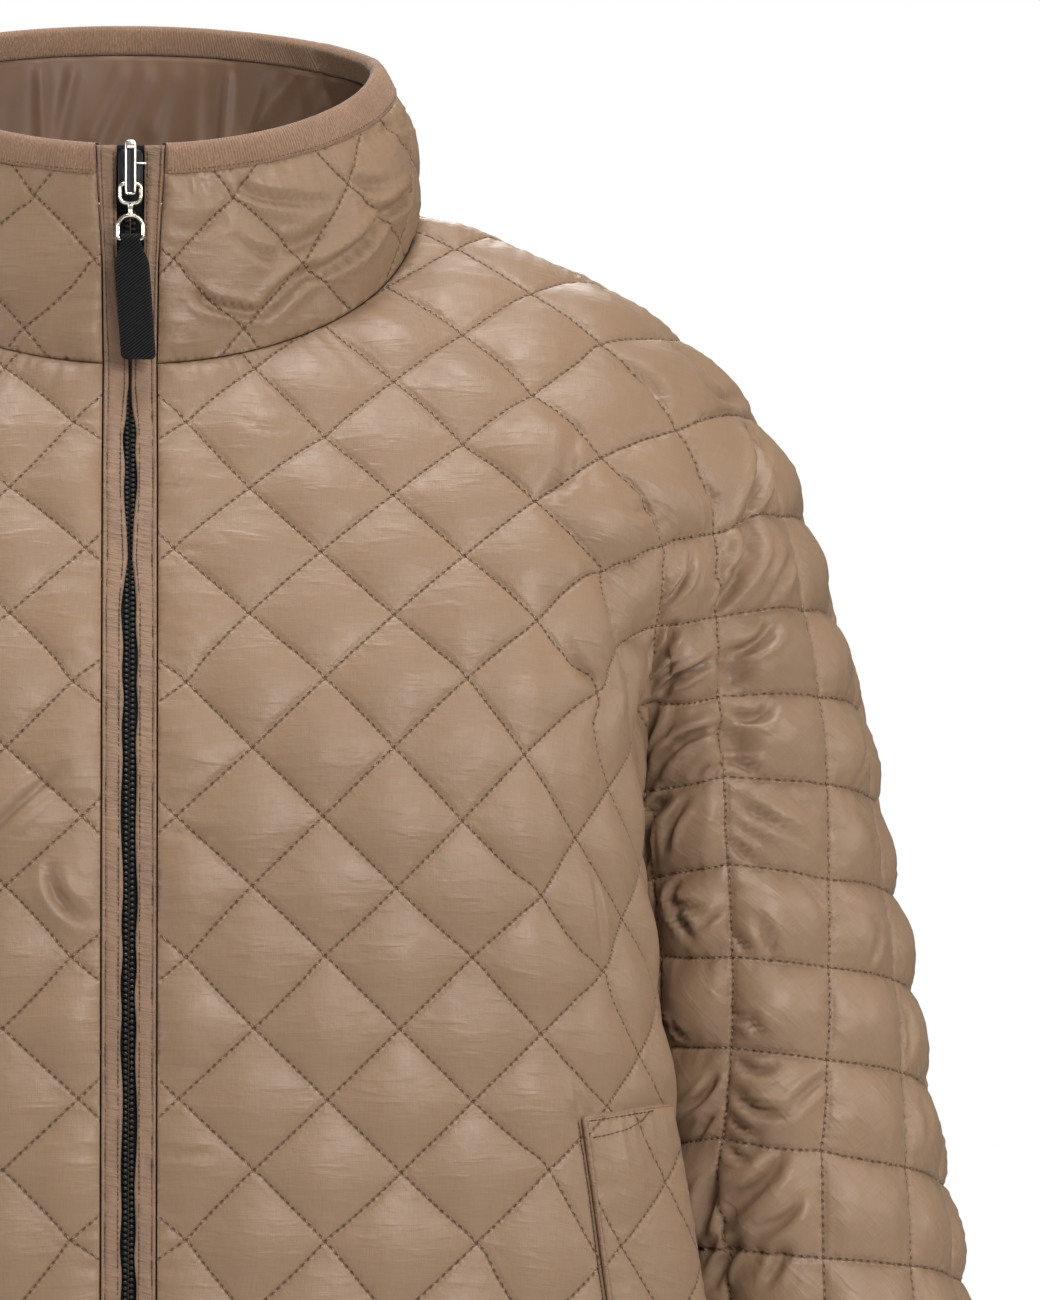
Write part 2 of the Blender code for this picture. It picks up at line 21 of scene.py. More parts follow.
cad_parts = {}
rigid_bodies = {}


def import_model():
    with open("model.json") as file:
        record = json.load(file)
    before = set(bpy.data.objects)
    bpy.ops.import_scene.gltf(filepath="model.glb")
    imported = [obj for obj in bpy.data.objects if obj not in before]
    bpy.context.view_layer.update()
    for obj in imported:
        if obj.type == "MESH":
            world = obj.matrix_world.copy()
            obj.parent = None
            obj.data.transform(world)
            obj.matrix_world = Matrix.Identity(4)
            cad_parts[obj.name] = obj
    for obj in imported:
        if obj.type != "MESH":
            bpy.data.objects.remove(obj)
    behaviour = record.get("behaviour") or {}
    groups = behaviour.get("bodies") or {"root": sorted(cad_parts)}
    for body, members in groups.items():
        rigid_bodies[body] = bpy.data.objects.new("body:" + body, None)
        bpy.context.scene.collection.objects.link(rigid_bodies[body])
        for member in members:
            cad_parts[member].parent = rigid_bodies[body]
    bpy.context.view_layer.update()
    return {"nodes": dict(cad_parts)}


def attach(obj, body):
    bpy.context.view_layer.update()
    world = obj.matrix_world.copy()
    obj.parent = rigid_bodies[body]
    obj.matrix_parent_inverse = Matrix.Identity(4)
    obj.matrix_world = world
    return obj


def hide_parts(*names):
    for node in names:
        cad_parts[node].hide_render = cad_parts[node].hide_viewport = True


for obj in list(bpy.data.objects):
    bpy.data.objects.remove(obj)
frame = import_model()
print("nodes:", ", ".join(sorted(frame["nodes"])))

MM = 0.001
GARMENT, PULL = "garment", "pull"


# %% Helpers that every step uses
def unit(rows):
    """Rows of vectors, each made 1 long."""
    return rows / np.linalg.norm(rows, axis=1)[:, None]


def run_along(points):
    """The distance run along a row of points, from 0 at the first."""
    return np.append(0, np.cumsum(np.linalg.norm(np.diff(points, axis=0), axis=1)))


def set_inputs(node, **values):
    """Unlinked inputs of a node, with a low line for each space in a name."""
    for label, value in values.items():
        node.inputs[label.replace("_", " ")].default_value = value


def add_object(name, data):
    """A new object in the scene, at the origin."""
    obj = bpy.data.objects.new(name, data)
    bpy.context.scene.collection.objects.link(obj)
    return obj


# %% [markdown]
# ## The camera
# The photograph was taken from straight ahead with a long lens, and it frames the wearer's left
# half of the jacket. One of its pixels is 0.38 mm at the depth of the neck. The camera looks at
# the middle of that frame. `pixel_ray` turns a pixel into a line of sight, so that a row of
# stitches can be laid where the picture shows it.

# %% The camera and a line of sight
PICTURE_WIDE, PICTURE_HIGH = 1040, 1300
PIXEL = 0.38 * MM
NECK_PIXEL = (130, 215)          # where the origin, the middle of the neck, is seen
EYE = Vector((0.0, -3.0, -0.29))
SENSOR = 36.0

aim = Vector(((PICTURE_WIDE / 2 - NECK_PIXEL[0]) * PIXEL, 0,
              (NECK_PIXEL[1] - PICTURE_HIGH / 2) * PIXEL))
turn = (aim - EYE).to_track_quat("-Z", "Y")
camera = add_object("camera", bpy.data.cameras.new("camera"))
camera.data.sensor_width = SENSOR
camera.data.lens = SENSOR * (aim - EYE).length / (PICTURE_HIGH * PIXEL)
camera.matrix_world = Matrix.LocRotScale(EYE, turn, None)
bpy.context.scene.camera = camera


def pixel_ray(x, y):
    """The direction from the eye through a pixel of the photograph."""
    across = (x - PICTURE_WIDE / 2) / PICTURE_HIGH * SENSOR
    up = (PICTURE_HIGH / 2 - y) / PICTURE_HIGH * SENSOR
    return turn @ Vector((across, up, -camera.data.lens)).normalized()


print(f"lens {camera.data.lens:.0f} mm, aimed at x {aim.x:.3f}, z {aim.z:.3f}")

# %% [markdown]
# ## The form of the cloth
# One surface gives every panel its form. A row of RINGS is one ring round the garment, from the
# collar's top edge to the hem and the cuffs, for the wearer's left half. A row of FOLDS tells
# how the front turns back beside the sleeve. A smooth curve runs through the rows, so the cloth
# has no facets however finely it is cut.

# %% Rings and folds
# Centre front to the quilted panel's edge, in mm, at rings of the garment.
PANEL_EDGES = ((0, 1, 2.5, 4, 5.5, 21), (13.0, 12.4, 10.5, 10.0, 10.2, 10.1))
TOP, BAND, NECK, SHOULDER, UNDERARM, HEM = 0, 1, 4, 8, 16, 21
VALLEY, OVERARM = 6, 10          # columns of a half ring
SLIT_BLEND = 0.4                 # rows over which body and sleeve part below the underarm

RING_COLUMNS = ("front_z", "front_y", "back_z", "back_y",
                "outer_x", "outer_y", "outer_z", "bulge", "rise")
RINGS = (
    (0.0165, -0.0905, 0.0806, 0.0810, 0.0945, 0.000, 0.0580, 2.00, 1.1),    # collar's top edge
    (0.0063, -0.0895, 0.0700, 0.0815, 0.1005, 0.000, 0.0470, 2.00, 1.1),    # under the binding
    (-0.0150, -0.0880, 0.0500, 0.0810, 0.1070, 0.000, 0.0310, 2.00, 1.1),
    (-0.0400, -0.0865, 0.0300, 0.0800, 0.1095, 0.000, 0.0140, 2.00, 1.0),
    (-0.0636, -0.0850, 0.0120, 0.0780, 0.1080, 0.000, 0.0000, 2.00, 1.0),   # neck seam
    (-0.0900, -0.0985, -0.0150, 0.0900, 0.1290, 0.000, -0.0045, 2.05, 1.3),
    (-0.1180, -0.1120, -0.0500, 0.0990, 0.1520, 0.000, -0.0150, 2.10, 1.6),
    (-0.1470, -0.1245, -0.0850, 0.1070, 0.1780, 0.000, -0.0265, 2.15, 1.8),
    (-0.1750, -0.1350, -0.1200, 0.1130, 0.2040, 0.000, -0.0440, 2.20, 2.0),  # shoulder
    (-0.2030, -0.1430, -0.1550, 0.1170, 0.2270, 0.000, -0.0660, 2.30, 2.0),
    (-0.2280, -0.1480, -0.1850, 0.1190, 0.2440, 0.000, -0.0910, 2.30, 2.0),
    (-0.2520, -0.1510, -0.2150, 0.1200, 0.2555, 0.000, -0.1160, 2.30, 2.0),
    (-0.2760, -0.1530, -0.2450, 0.1200, 0.2630, 0.000, -0.1420, 2.30, 2.0),
    (-0.3000, -0.1540, -0.2780, 0.1190, 0.2715, 0.000, -0.1680, 2.30, 2.0),
    (-0.3230, -0.1545, -0.3120, 0.1180, 0.2785, 0.000, -0.1960, 2.30, 2.0),
    (-0.3460, -0.1550, -0.3460, 0.1170, 0.2855, 0.000, -0.2400, 2.30, 2.0),
    (-0.3700, -0.1550, -0.3700, 0.1160, 0.2945, 0.000, -0.2870, 2.30, 2.0),  # underarm
    (-0.4050, -0.1550, -0.4050, 0.1160, 0.3035, -0.002, -0.3380, 2.30, 2.0),
    (-0.4400, -0.1545, -0.4400, 0.1170, 0.3120, -0.004, -0.3900, 2.30, 2.0),
    (-0.4970, -0.1540, -0.4970, 0.1190, 0.3235, -0.008, -0.4600, 2.30, 2.0),
    (-0.5680, -0.1540, -0.5680, 0.1220, 0.3360, -0.014, -0.5300, 2.30, 2.0),
    (-0.6400, -0.1540, -0.6400, 0.1250, 0.3480, -0.020, -0.6000, 2.30, 2.0),  # hem and cuff
)
FOLD_COLUMNS = ("folded", "fold_x", "fold_y", "valley",
                "sleeve_w", "sleeve_d", "side_x", "follow")
FOLDS = (
    (0.00, 0.1710, -0.110, 80, 0.0470, 0.0800, 0.1855, 1.00),
    (0.15, 0.1720, -0.110, 80, 0.0470, 0.0800, 0.1855, 1.00),
    (0.40, 0.1740, -0.108, 78, 0.0480, 0.0800, 0.1855, 1.00),
    (0.75, 0.1785, -0.106, 72, 0.0490, 0.0795, 0.1855, 1.00),
    (1.00, 0.1820, -0.104, 62, 0.0500, 0.0790, 0.1855, 1.00),
    (1.00, 0.1850, -0.102, 51, 0.0515, 0.0790, 0.1855, 1.00),
    (1.00, 0.1880, -0.100, 38, 0.0525, 0.0785, 0.1855, 1.00),
    (1.00, 0.1925, -0.098, 21, 0.0535, 0.0780, 0.1855, 1.00),
    (1.00, 0.1980, -0.096, 0, 0.0545, 0.0780, 0.1855, 1.00),
    (1.00, 0.2045, -0.094, 0, 0.0560, 0.0770, 0.1820, 0.90),
    (1.00, 0.2105, -0.092, 0, 0.0540, 0.0740, 0.1820, 0.75),
    (1.00, 0.2165, -0.088, 0, 0.0510, 0.0680, 0.1900, 0.50),
    (1.00, 0.2205, -0.082, 0, 0.0470, 0.0600, 0.2030, 0.25),
    (1.00, 0.2225, -0.075, 0, 0.0425, 0.0520, 0.2120, 0.00),
)
BACK_FOLD_IN, BACK_FOLD_SHARE = 4 * MM, 0.64
BACK_SLEEVE, BACK_VALLEY_OPEN = 0.94, 1.12
PLAIN_ANGLES = (0, 10, 21, 31.5, 40, 42, 44, 48, 53, 70, 90)
BODY_ANGLES = (0, 17, 35, 54, 90)
BODY_BULGE = 2.4


# %% Points on the surface
def catmull_rom(before, start, end, after, t):
    """The smooth curve from start to end, t from 0 to 1."""
    return 0.5 * (
        2 * start
        + (end - before) * t
        + (2 * before - 5 * start + 4 * end - after) * t**2
        + (3 * start - before - 3 * end + after) * t**3
    )


def table_at(table, row, first, last):
    """The table's values at many rows at once, whole or between two."""
    values = np.array(table)
    row = np.clip(row, first, last)
    below = np.minimum(row.astype(int), last - 1)
    before = values[np.maximum(below - 1, first)]
    after = values[np.minimum(below + 2, last)]
    t = (row - below)[:, None]
    return catmull_rom(before, values[below], values[below + 1], after, t)


def section_at(place, collar):
    """All columns at many places. Collar and body bend where they are seamed."""
    first, last = (TOP, NECK) if collar else (NECK, HEM)
    section = dict(zip(RING_COLUMNS, table_at(RINGS, place, first, last).T))
    folds = table_at(FOLDS, place - SHOULDER, 0, HEM - SHOULDER)
    section.update(zip(FOLD_COLUMNS, folds.T))
    section["slit"] = place > UNDERARM
    section["edge"] = np.interp(place, *PANEL_EDGES) * MM
    return section


# %% Half rings
def arc(width, middle, end, bulge, angles):
    """Quarter superellipses from (0, middle) to (width, end), one for each section."""
    t = np.radians(np.array(angles, float))[None, :]
    power = 2 / np.broadcast_to(bulge, width.shape)[:, None]
    across = np.sin(t) ** power
    ahead = np.maximum(np.cos(t), 0) ** power
    return np.stack([width[:, None] * across,
                     end[:, None] + (middle - end)[:, None] * ahead], axis=2)


def half_rings(s, back):
    """The named places of the half rings, and the inner points of the sleeves."""
    centre_y = s["back_y"] if back else s["front_y"]
    plain = arc(s["outer_x"], centre_y, s["outer_y"], s["bulge"], PLAIN_ANGLES)
    fold_x = s["fold_x"] - (BACK_FOLD_IN if back else 0)
    fold_y = centre_y * BACK_FOLD_SHARE if back else s["fold_y"]
    body = arc(fold_x, centre_y, fold_y, BODY_BULGE, BODY_ANGLES)
    reach = s["sleeve_d"] * (BACK_SLEEVE if back else -1)
    valley = np.maximum(s["valley"], 0) * (BACK_VALLEY_OPEN if back else 1)
    flat = np.zeros_like(valley)
    sleeve = []
    for degrees in (valley, (valley + 90) / 2, flat + 90, flat + 135, flat + 180):
        t = np.radians(degrees)
        x = s["outer_x"] - s["sleeve_w"] * (1 + np.cos(t))
        sleeve.append(np.stack([x, s["outer_y"] + reach * np.sin(t)], axis=1))
    side = np.where(s["slit"][:, None],
                    np.stack([s["side_x"], s["outer_y"]], axis=1), sleeve[0])
    inside_fold = (body[:, -1] + side) / 2
    folded = np.concatenate(
        [body, inside_fold[:, None], side[:, None], np.stack(sleeve[1:], axis=1)], axis=1)
    share = np.clip(s["folded"], 0, 1)[:, None, None]
    places = (1 - share) * plain + share * folded
    places[:, 0, 0] = 0 if back else s["edge"]
    return places, sleeve[0]


# %% The surface, and the way out of it
def surface(place, along, back, body=False, collar=False):
    """Points of the cloth's face. place is the ring, along the named place on its half ring,
    and body says which side of the slit a point below the underarm is on."""
    s = section_at(place, collar)
    near, inner = half_rings(s, back)
    far, _ = half_rings(s, not back)
    start = np.stack([2 * near[:, 0, 0] - near[:, 1, 0], near[:, 1, 1]], axis=1)
    line = np.concatenate([start[:, None], near, far[:, OVERARM - 1][:, None]], axis=1)
    parted = line.copy()
    if body:
        parted[:, VALLEY + 2] = far[:, VALLEY - 1]
    else:
        parted[:, VALLEY] = far[:, VALLEY + 1]
        parted[:, VALLEY + 1] = inner
    part = np.clip((place - UNDERARM) / SLIT_BLEND, 0, 1)[:, None, None]
    line = (1 - part) * line + part * parted
    span = np.clip(along.astype(int), 0, OVERARM - 1)
    rows = np.arange(len(place))
    t = (along - span)[:, None]
    x, y = catmull_rom(*(line[rows, span + k] for k in range(4)), t).T
    share = np.minimum(np.abs(x) / s["outer_x"], 1)
    climb = 1 - (1 - share**2) ** (s["rise"] / 2)
    if body:
        climb = climb * s["follow"]
    centre_z = s["back_z"] if back else s["front_z"]
    return np.stack([x, y, centre_z + (s["outer_z"] - centre_z) * climb], axis=1)


def outward(place, along, back, body=False, collar=False):
    """The direction straight out of the cloth at the same points."""
    step = 0.02
    first, last = (TOP, NECK) if collar else (NECK, HEM)
    low, high = np.clip(place - step, first, last), np.clip(place + step, first, last)
    down = surface(high, along, back, body, collar) - surface(low, along, back, body, collar)
    low, high = np.clip(along - step, 0, OVERARM), np.clip(along + step, 0, OVERARM)
    across = surface(place, high, back, body, collar) - surface(place, low, back, body, collar)
    way = np.cross(across, down) * (1 if back else -1)
    return unit(way)


test = np.array([4.0, 10.0, 15.9])
for name, found in (("front centre", surface(test, 0 * test, False)),
                    ("overarm", surface(test, 0 * test + OVERARM, False)),
                    ("outward", outward(test, 0 * test + 2, False))):
    print(name, found.round(3).tolist())

# %% [markdown]
# ## Laying a panel flat
# Quilted cloth is sewn in straight rows on a flat roll, and the panels are cut out of it
# afterwards. So the squares have to be drawn on the flat cut, and not on the worn form. The
# panel's form is covered with a coarse net, and the net is laid flat with as little stretch as
# it can have: each triangle turns freely, keeps its shape, and is pulled to its neighbours.
# Where the photograph shows a crossing of two rows of stitches, that crossing is pinned to the
# point of the cloth that is seen there. u counts the squares down to the right, v up to the
# right, and u + v = 0 is a plumb line.

# %% The net
SQUARE = 38.4 * MM               # one side of a quilted square
NET_STEPS = (5, 5, 4, 4, 4, 4, 4, 5, 5, 5)
NET_ABOVE, NET_BELOW = 32, 24
UPPER, BODY, SLEEVE = 0, 1, 2


def cloth(make, place, along, part, back):
    """surface or outward on the left half, each point on its own side of the slit."""
    return np.where((part == BODY)[:, None], make(place, along, back, body=True),
                    make(place, along, back))


def in_squares(x, y):
    """u and v of points that lie x metres to the right and y up on the flat cloth."""
    return np.stack([x - y, x + y], axis=1) * math.sqrt(0.5) / SQUARE


def blended(values, numbers, weights):
    """Values at spots of a net, from those at its corners."""
    return np.array([(values[n].T * w).sum(-1) for n, w in zip(numbers, weights)])


def grid_faces(index):
    """Two triangles for each cell of a grid of point numbers, with their outer side up."""
    a, b, c, d = index[:-1, :-1], index[1:, :-1], index[1:, 1:], index[:-1, 1:]
    return np.concatenate([np.stack(f, axis=-1).reshape(-1, 3) for f in ((a, b, c), (a, c, d))])


def corner_weights(point, corners):
    """Weights of a triangle's corners at points in its plane."""
    a, b, c = corners[:, 0], corners[:, 1], corners[:, 2]
    ab, ac, ap = b - a, c - a, point - a
    bb, bc, cc = (ab * ab).sum(1), (ab * ac).sum(1), (ac * ac).sum(1)
    pb, pc = (ap * ab).sum(1), (ap * ac).sum(1)
    size = bb * cc - bc * bc
    second, third = (cc * pb - bc * pc) / size, (bb * pc - bc * pb) / size
    return np.stack([1 - second - third, second, third], axis=1)


# %% A net, in space and laid flat
class Net:
    """A coarse net over one panel of the left half, in space and laid flat. It is turned if
    its u and v run the other way round, as on the back."""

    def __init__(self, back):
        self.turned = back
        columns = [span + np.arange(n) / n for span, n in enumerate(NET_STEPS)]
        columns = np.append(np.concatenate(columns), OVERARM)
        split = sum(NET_STEPS[:VALLEY])
        above = np.linspace(NECK, UNDERARM, NET_ABOVE)
        below = np.linspace(UNDERARM, HEM, NET_BELOW)[1:]
        place, along, part, faces, face_part = [], [], [], [], []

        def add(rows, across, kind, top):
            index = len(place) + np.arange(len(rows) * len(across)).reshape(len(rows), -1)
            grid = np.meshgrid(rows, across, indexing="ij")
            place.extend(grid[0].ravel())
            along.extend(grid[1].ravel())
            part.extend([kind] * index.size)
            index = index if top is None else np.vstack([top, index])
            triangles = grid_faces(index)
            faces.append(triangles)
            face_part.append(np.full(len(triangles), kind))
            return index

        self.upper = add(above, columns, UPPER, None)
        self.body = add(below, columns[:split + 1], BODY, self.upper[-1, :split + 1])
        self.sleeve = add(below, columns[split:], SLEEVE, self.upper[-1, split:])
        self.place, self.along, self.part = map(np.array, (place, along, part))
        self.faces, self.face_part = np.vstack(faces), np.concatenate(face_part)
        self.points = cloth(surface, self.place, self.along, self.part, back)
        self.tree = BVHTree.FromPolygons(self.points.tolist(), self.faces.tolist())

    def first_guess(self):
        """Rings laid out as level lines, and the sleeve at half a right angle to the body."""
        def lengths(index):
            steps = np.diff(self.points[index], axis=0)
            return np.vstack([np.zeros(index.shape[1]), np.cumsum(np.linalg.norm(steps, axis=2), 0)])

        flat = np.zeros((len(self.points), 2))
        down = lengths(self.upper)
        right = lengths(self.upper.T).T
        flat[self.upper] = np.stack([right, -down[:, :1] + 0 * right], axis=-1)
        flat[self.body[1:]] = np.stack(
            [lengths(self.body.T).T, -down[-1, 0] - lengths(self.body)[:, :1] + 0 * self.body],
            axis=-1)[1:]
        slope = lengths(self.sleeve) * math.sqrt(0.5)
        start = flat[self.sleeve[0]]
        flat[self.sleeve[1:]] = (start + np.stack([slope, -slope], axis=-1))[1:]
        return in_squares(*flat.T)

    def space(self, place, along, part):
        """Points and outward directions of the worn cloth."""
        return [cloth(make, place, along, part, self.turned) for make in (surface, outward)]

    def neighbours(self, edges):
        """Each point's neighbours and the pull to each, in rows of equal length."""
        count = len(self.points)
        ends = np.concatenate([np.concatenate([a, b]) * count + np.concatenate([b, a])
                               for a, b, _, _ in edges])
        pulls = np.concatenate([np.tile(pull[:, 0], 2) for _, _, pull, _ in edges])
        pairs, which = np.unique(ends, return_inverse=True)
        total = np.bincount(which, pulls)
        point, other = pairs // count, pairs % count
        first = np.searchsorted(point, np.arange(count))
        place = np.arange(len(pairs)) - first[point]
        near = np.zeros((count, place.max() + 1), int)
        pull = np.zeros(near.shape)
        near[point, place], pull[point, place] = other, total
        return near, pull

    def lay_flat(self, spots, targets, weight, rounds=70, steps=25):
        """spots is (corner numbers, corner weights) of pinned places, targets their u and v."""
        numbers, weights = np.array(spots[0]), np.array(spots[1])
        flat = self.first_guess()
        flat += targets[0] - (flat[numbers[0]] * weights[0][:, None]).sum(0)
        corners = self.points[self.faces]
        side = corners[:, 1] - corners[:, 0]
        length = np.linalg.norm(side, axis=1)
        ahead = side / length[:, None]
        third = corners[:, 2] - corners[:, 0]
        reach = (third * ahead).sum(1)
        rise = np.linalg.norm(third - ahead * reach[:, None], axis=1)
        nought = np.zeros_like(length)
        rest = np.stack([np.stack([nought, nought], 1), np.stack([length, nought], 1),
                         np.stack([reach, rise], 1)], axis=1) / SQUARE
        edges = []
        for i, j, far in ((0, 1, 2), (1, 2, 0), (2, 0, 1)):
            p, q = rest[:, i] - rest[:, far], rest[:, j] - rest[:, far]
            pull = (p * q).sum(1) / np.abs(p[:, 0] * q[:, 1] - p[:, 1] * q[:, 0])
            edges.append((self.faces[:, i], self.faces[:, j],
                          np.maximum(pull, 0.05)[:, None], rest[:, j] - rest[:, i]))
        near, pull_to = self.neighbours(edges)
        whole = pull_to.sum(1)[:, None]
        own = whole.copy()
        np.add.at(own, numbers, weight * weights[:, :, None]**2)

        def strain(x):
            held = (x[numbers] * weights[:, :, None]).sum(1)
            out = whole * x - (pull_to[:, :, None] * x[near]).sum(1)
            np.add.at(out, numbers, weight * held[:, None, :] * weights[:, :, None])
            return out

        for _ in range(rounds):
            turn_of = np.zeros((len(self.faces), 2, 2))
            for a, b, pull, straight in edges:
                turn_of += (pull * (flat[b] - flat[a]))[:, :, None] * straight[:, None, :]
            angle = np.arctan2(turn_of[:, 1, 0] - turn_of[:, 0, 1],
                               turn_of[:, 0, 0] + turn_of[:, 1, 1])
            c, s = np.cos(angle), np.sin(angle)
            force = np.zeros_like(flat)
            np.add.at(force, numbers, weight * targets[:, None, :] * weights[:, :, None])
            for a, b, pull, straight in edges:
                x, y = straight.T
                moved = pull * np.stack([c * x - s * y, s * x + c * y], axis=1)
                np.add.at(force, b, moved)
                np.add.at(force, a, -moved)
            # Conjugate gradients, from where the last round ended.
            left = force - strain(flat)
            eased = left / own
            way, size = eased, (left * eased).sum(0)
            for _ in range(steps):
                push = strain(way)
                share = size / (way * push).sum(0)
                flat = flat + share * way
                left = left - share * push
                eased = left / own
                new_size = (left * eased).sum(0)
                way, size = eased + new_size / size * way, new_size
        self.flat = flat
        where = np.hstack([flat, np.zeros((len(flat), 1))])
        self.flat_tree = BVHTree.FromPolygons(where.tolist(), self.faces.tolist())
        return np.concatenate([np.linalg.norm(flat[b] - flat[a], axis=1)
                               / np.linalg.norm(straight, axis=1) for a, b, _, straight in edges])

    def seen_at(self, pixels):
        """The net's corners, and their weights, at the first cloth seen through each pixel."""
        numbers, weights = [], []
        for x, y in pixels:
            spot, _, face, _ = self.tree.ray_cast(EYE, pixel_ray(x, y))
            if spot is None:
                raise SystemExit(f"no cloth at pixel {x}, {y}")
            corners = self.faces[face]
            numbers.append(corners)
            weights.append(corner_weights(np.array([spot]), self.points[corners][None])[0])
        return numbers, weights

    def locate(self, uv):
        """place, along and part of points of the flat cloth, and which of them are on it."""
        hits = [self.flat_tree.ray_cast((u, v, 1.0), (0.0, 0.0, -1.0))[2] for u, v in uv]
        inside = np.array([hit is not None for hit in hits])
        face = np.array([0 if hit is None else hit for hit in hits])
        corners = self.faces[face]
        weights = corner_weights(uv, self.flat[corners])
        place = (self.place[corners] * weights).sum(1)
        along = (self.along[corners] * weights).sum(1)
        return place, along, self.face_part[face], inside


# %% Pin the front's net to the photograph
# Crossings of two rows of stitches: u, v, and the pixel.
CROSSINGS = (
    (0, 0, 187, 421), (2, -2, 187, 681), (4, -4, 187, 957), (6, -6, 187, 1240),
    (1, 1, 325, 437), (3, -1, 325, 677), (5, -3, 325, 955), (7, -5, 325, 1241),
    (2, 2, 463, 445), (4, 0, 468, 677), (6, -2, 473, 957), (8, -4, 478, 1242),
    (2, 3, 533, 395), (4, 1, 538, 620), (6, -1, 543, 895), (8, -3, 550, 1169),
    (3, 3, 601, 457), (4, 2, 603, 572), (5, 1, 605, 690), (7, -1, 607, 970), (8, -2, 609, 1105),
    (2, 4, 600, 343), (3, 4, 676, 431), (3, 5, 741, 415), (4, 4, 712, 536), (4, 5, 783, 517),
    (5, 4, 713, 617), (7, 4, 722, 776), (9, 4, 732, 957), (11, 4, 722, 1138),
    (5, 5, 805, 611), (7, 5, 828, 785), (9, 5, 830, 967), (11, 5, 822, 1150),
    (6, 4, 716, 697), (8, 4, 727, 864), (10, 4, 730, 1048),
    (6, 5, 820, 697), (8, 5, 830, 880), (10, 5, 828, 1060),
    (4.5, 4, 713, 577), (5.5, 4, 714, 657), (6.5, 4, 719, 736), (7.5, 4, 724, 820),
    (8.5, 4, 730, 911), (9.5, 4, 732, 1003), (10.5, 4, 727, 1093), (11.5, 4, 716, 1180),
    (5.5, 5, 812, 650), (6.5, 5, 825, 741), (7.5, 5, 829, 832), (8.5, 5, 830, 923),
    (9.5, 5, 830, 1014), (10.5, 5, 826, 1105),
    (3.5, 3, 641, 497), (4, 3, 665, 545), (3.5, 4, 697, 474), (4, 2.5, 633, 562),
    (6, 3, 634, 705), (7, 3, 643, 792), (8, 3, 651, 880), (9, 3, 660, 955), (10, 3, 668, 1045),
)
PIN_WEIGHT = 30.0

front_net = Net(back=False)
spots = front_net.seen_at([row[2:] for row in CROSSINGS])
stretch = front_net.lay_flat(spots, np.array([row[:2] for row in CROSSINGS], float), PIN_WEIGHT)
print("front net:", len(front_net.points), "points, stretch",
      np.percentile(stretch, (1, 10, 50, 90, 99)).round(2))

# %% The back's net, hung straight down its centre line
PARTED_ROWS, PARTED = 6, 0.015   # rings, and squares for each ring
back_net = Net(back=True)
centre_line = np.concatenate([back_net.upper[:, 0], back_net.body[1:, 0]])
drop = run_along(back_net.points[centre_line]) / SQUARE * math.sqrt(0.5)
spots = list(centre_line)
targets = np.stack([drop, -drop], axis=1)
back_net.lay_flat(([[i] for i in spots], [np.ones(1)] * len(spots)), targets, PIN_WEIGHT)
# Below the underarm the body and the sleeve would lie on each other, so they are parted.
for step in range(1, PARTED_ROWS + 1):
    pair = back_net.body[step, -1], back_net.sleeve[step, 0]
    middle = back_net.flat[list(pair)].mean(0)
    spots += pair
    targets = np.vstack([targets, middle - PARTED * step, middle + PARTED * step])
spots = [[i] for i in spots], [np.ones(1)] * len(spots)
stretch = back_net.lay_flat(spots, targets, PIN_WEIGHT)
print("back net:", len(back_net.points), "points, stretch",
      np.percentile(stretch, (1, 10, 50, 90, 99)).round(2))

# %% [markdown]
# ## The relief of the quilting
# Between its rows of stitches the wadding pushes the shell up, flat and firm over the chest,
# fuller and looser on the sleeve. Each row pulls the shell down, and the shell puckers across
# it. Where the jacket bends, squares crumple into creases. All of it is worked out on the flat
# cut, as a height over the form, because there each square is a true square. The creases that
# show are laid along the photograph's, and the hidden sides get others like them.

# %% Pillows and puckers
PILLOW_FIRM, PILLOW_FULL = 3.1 * MM, 5.8 * MM
PILLOW_EDGE = 0.70               # power of the pillow's profile: less is steeper at the stitches
GROOVE_DEPTH, GROOVE_HALF = 0.6 * MM, 1.0 * MM
PUCKER_FIRM, PUCKER_FULL = 0.19 * MM, 0.68 * MM
LOWEST = -1.9 * MM               # no fold goes deeper than this
PUCKER_WAVES = (5.2 * MM, 7.4 * MM, 11.0 * MM)
PUCKER_REACH = 7 * MM
LEAN_FIRM, LEAN_FULL = 0.22, 0.3  # how far a pillow's top lies off its middle
LONG_WAVES, FINE_WAVES = (0.07, 0.11, 0.16), (0.017, 0.023, 0.031)   # metres
SEAM_REACH = 5 * MM              # over this the wadding thins out to a seam
SEAM_RIPPLES = ((4.1 * MM, 0.20 * MM), (6.5 * MM, 0.24 * MM), (9.7 * MM, 0.26 * MM))
SEAM_RIPPLE_REACH = 13 * MM
CELLS = 64                       # random tables cover this many squares each way


def smooth_step(low, high, x):
    t = np.clip((x - low) / (high - low), 0, 1)
    return t * t * (3 - 2 * t)


def soft_noise(random, uv, waves):
    """A sum of long waves in random directions, about 1 at most."""
    total = np.zeros(len(uv))
    for wave in waves:
        way = random.uniform(0, 2 * math.pi)
        phase = random.uniform(0, 2 * math.pi)
        reach = uv @ np.array((math.cos(way), math.sin(way))) * SQUARE / wave
        total += np.sin(2 * math.pi * reach + phase)
    return total / len(waves)


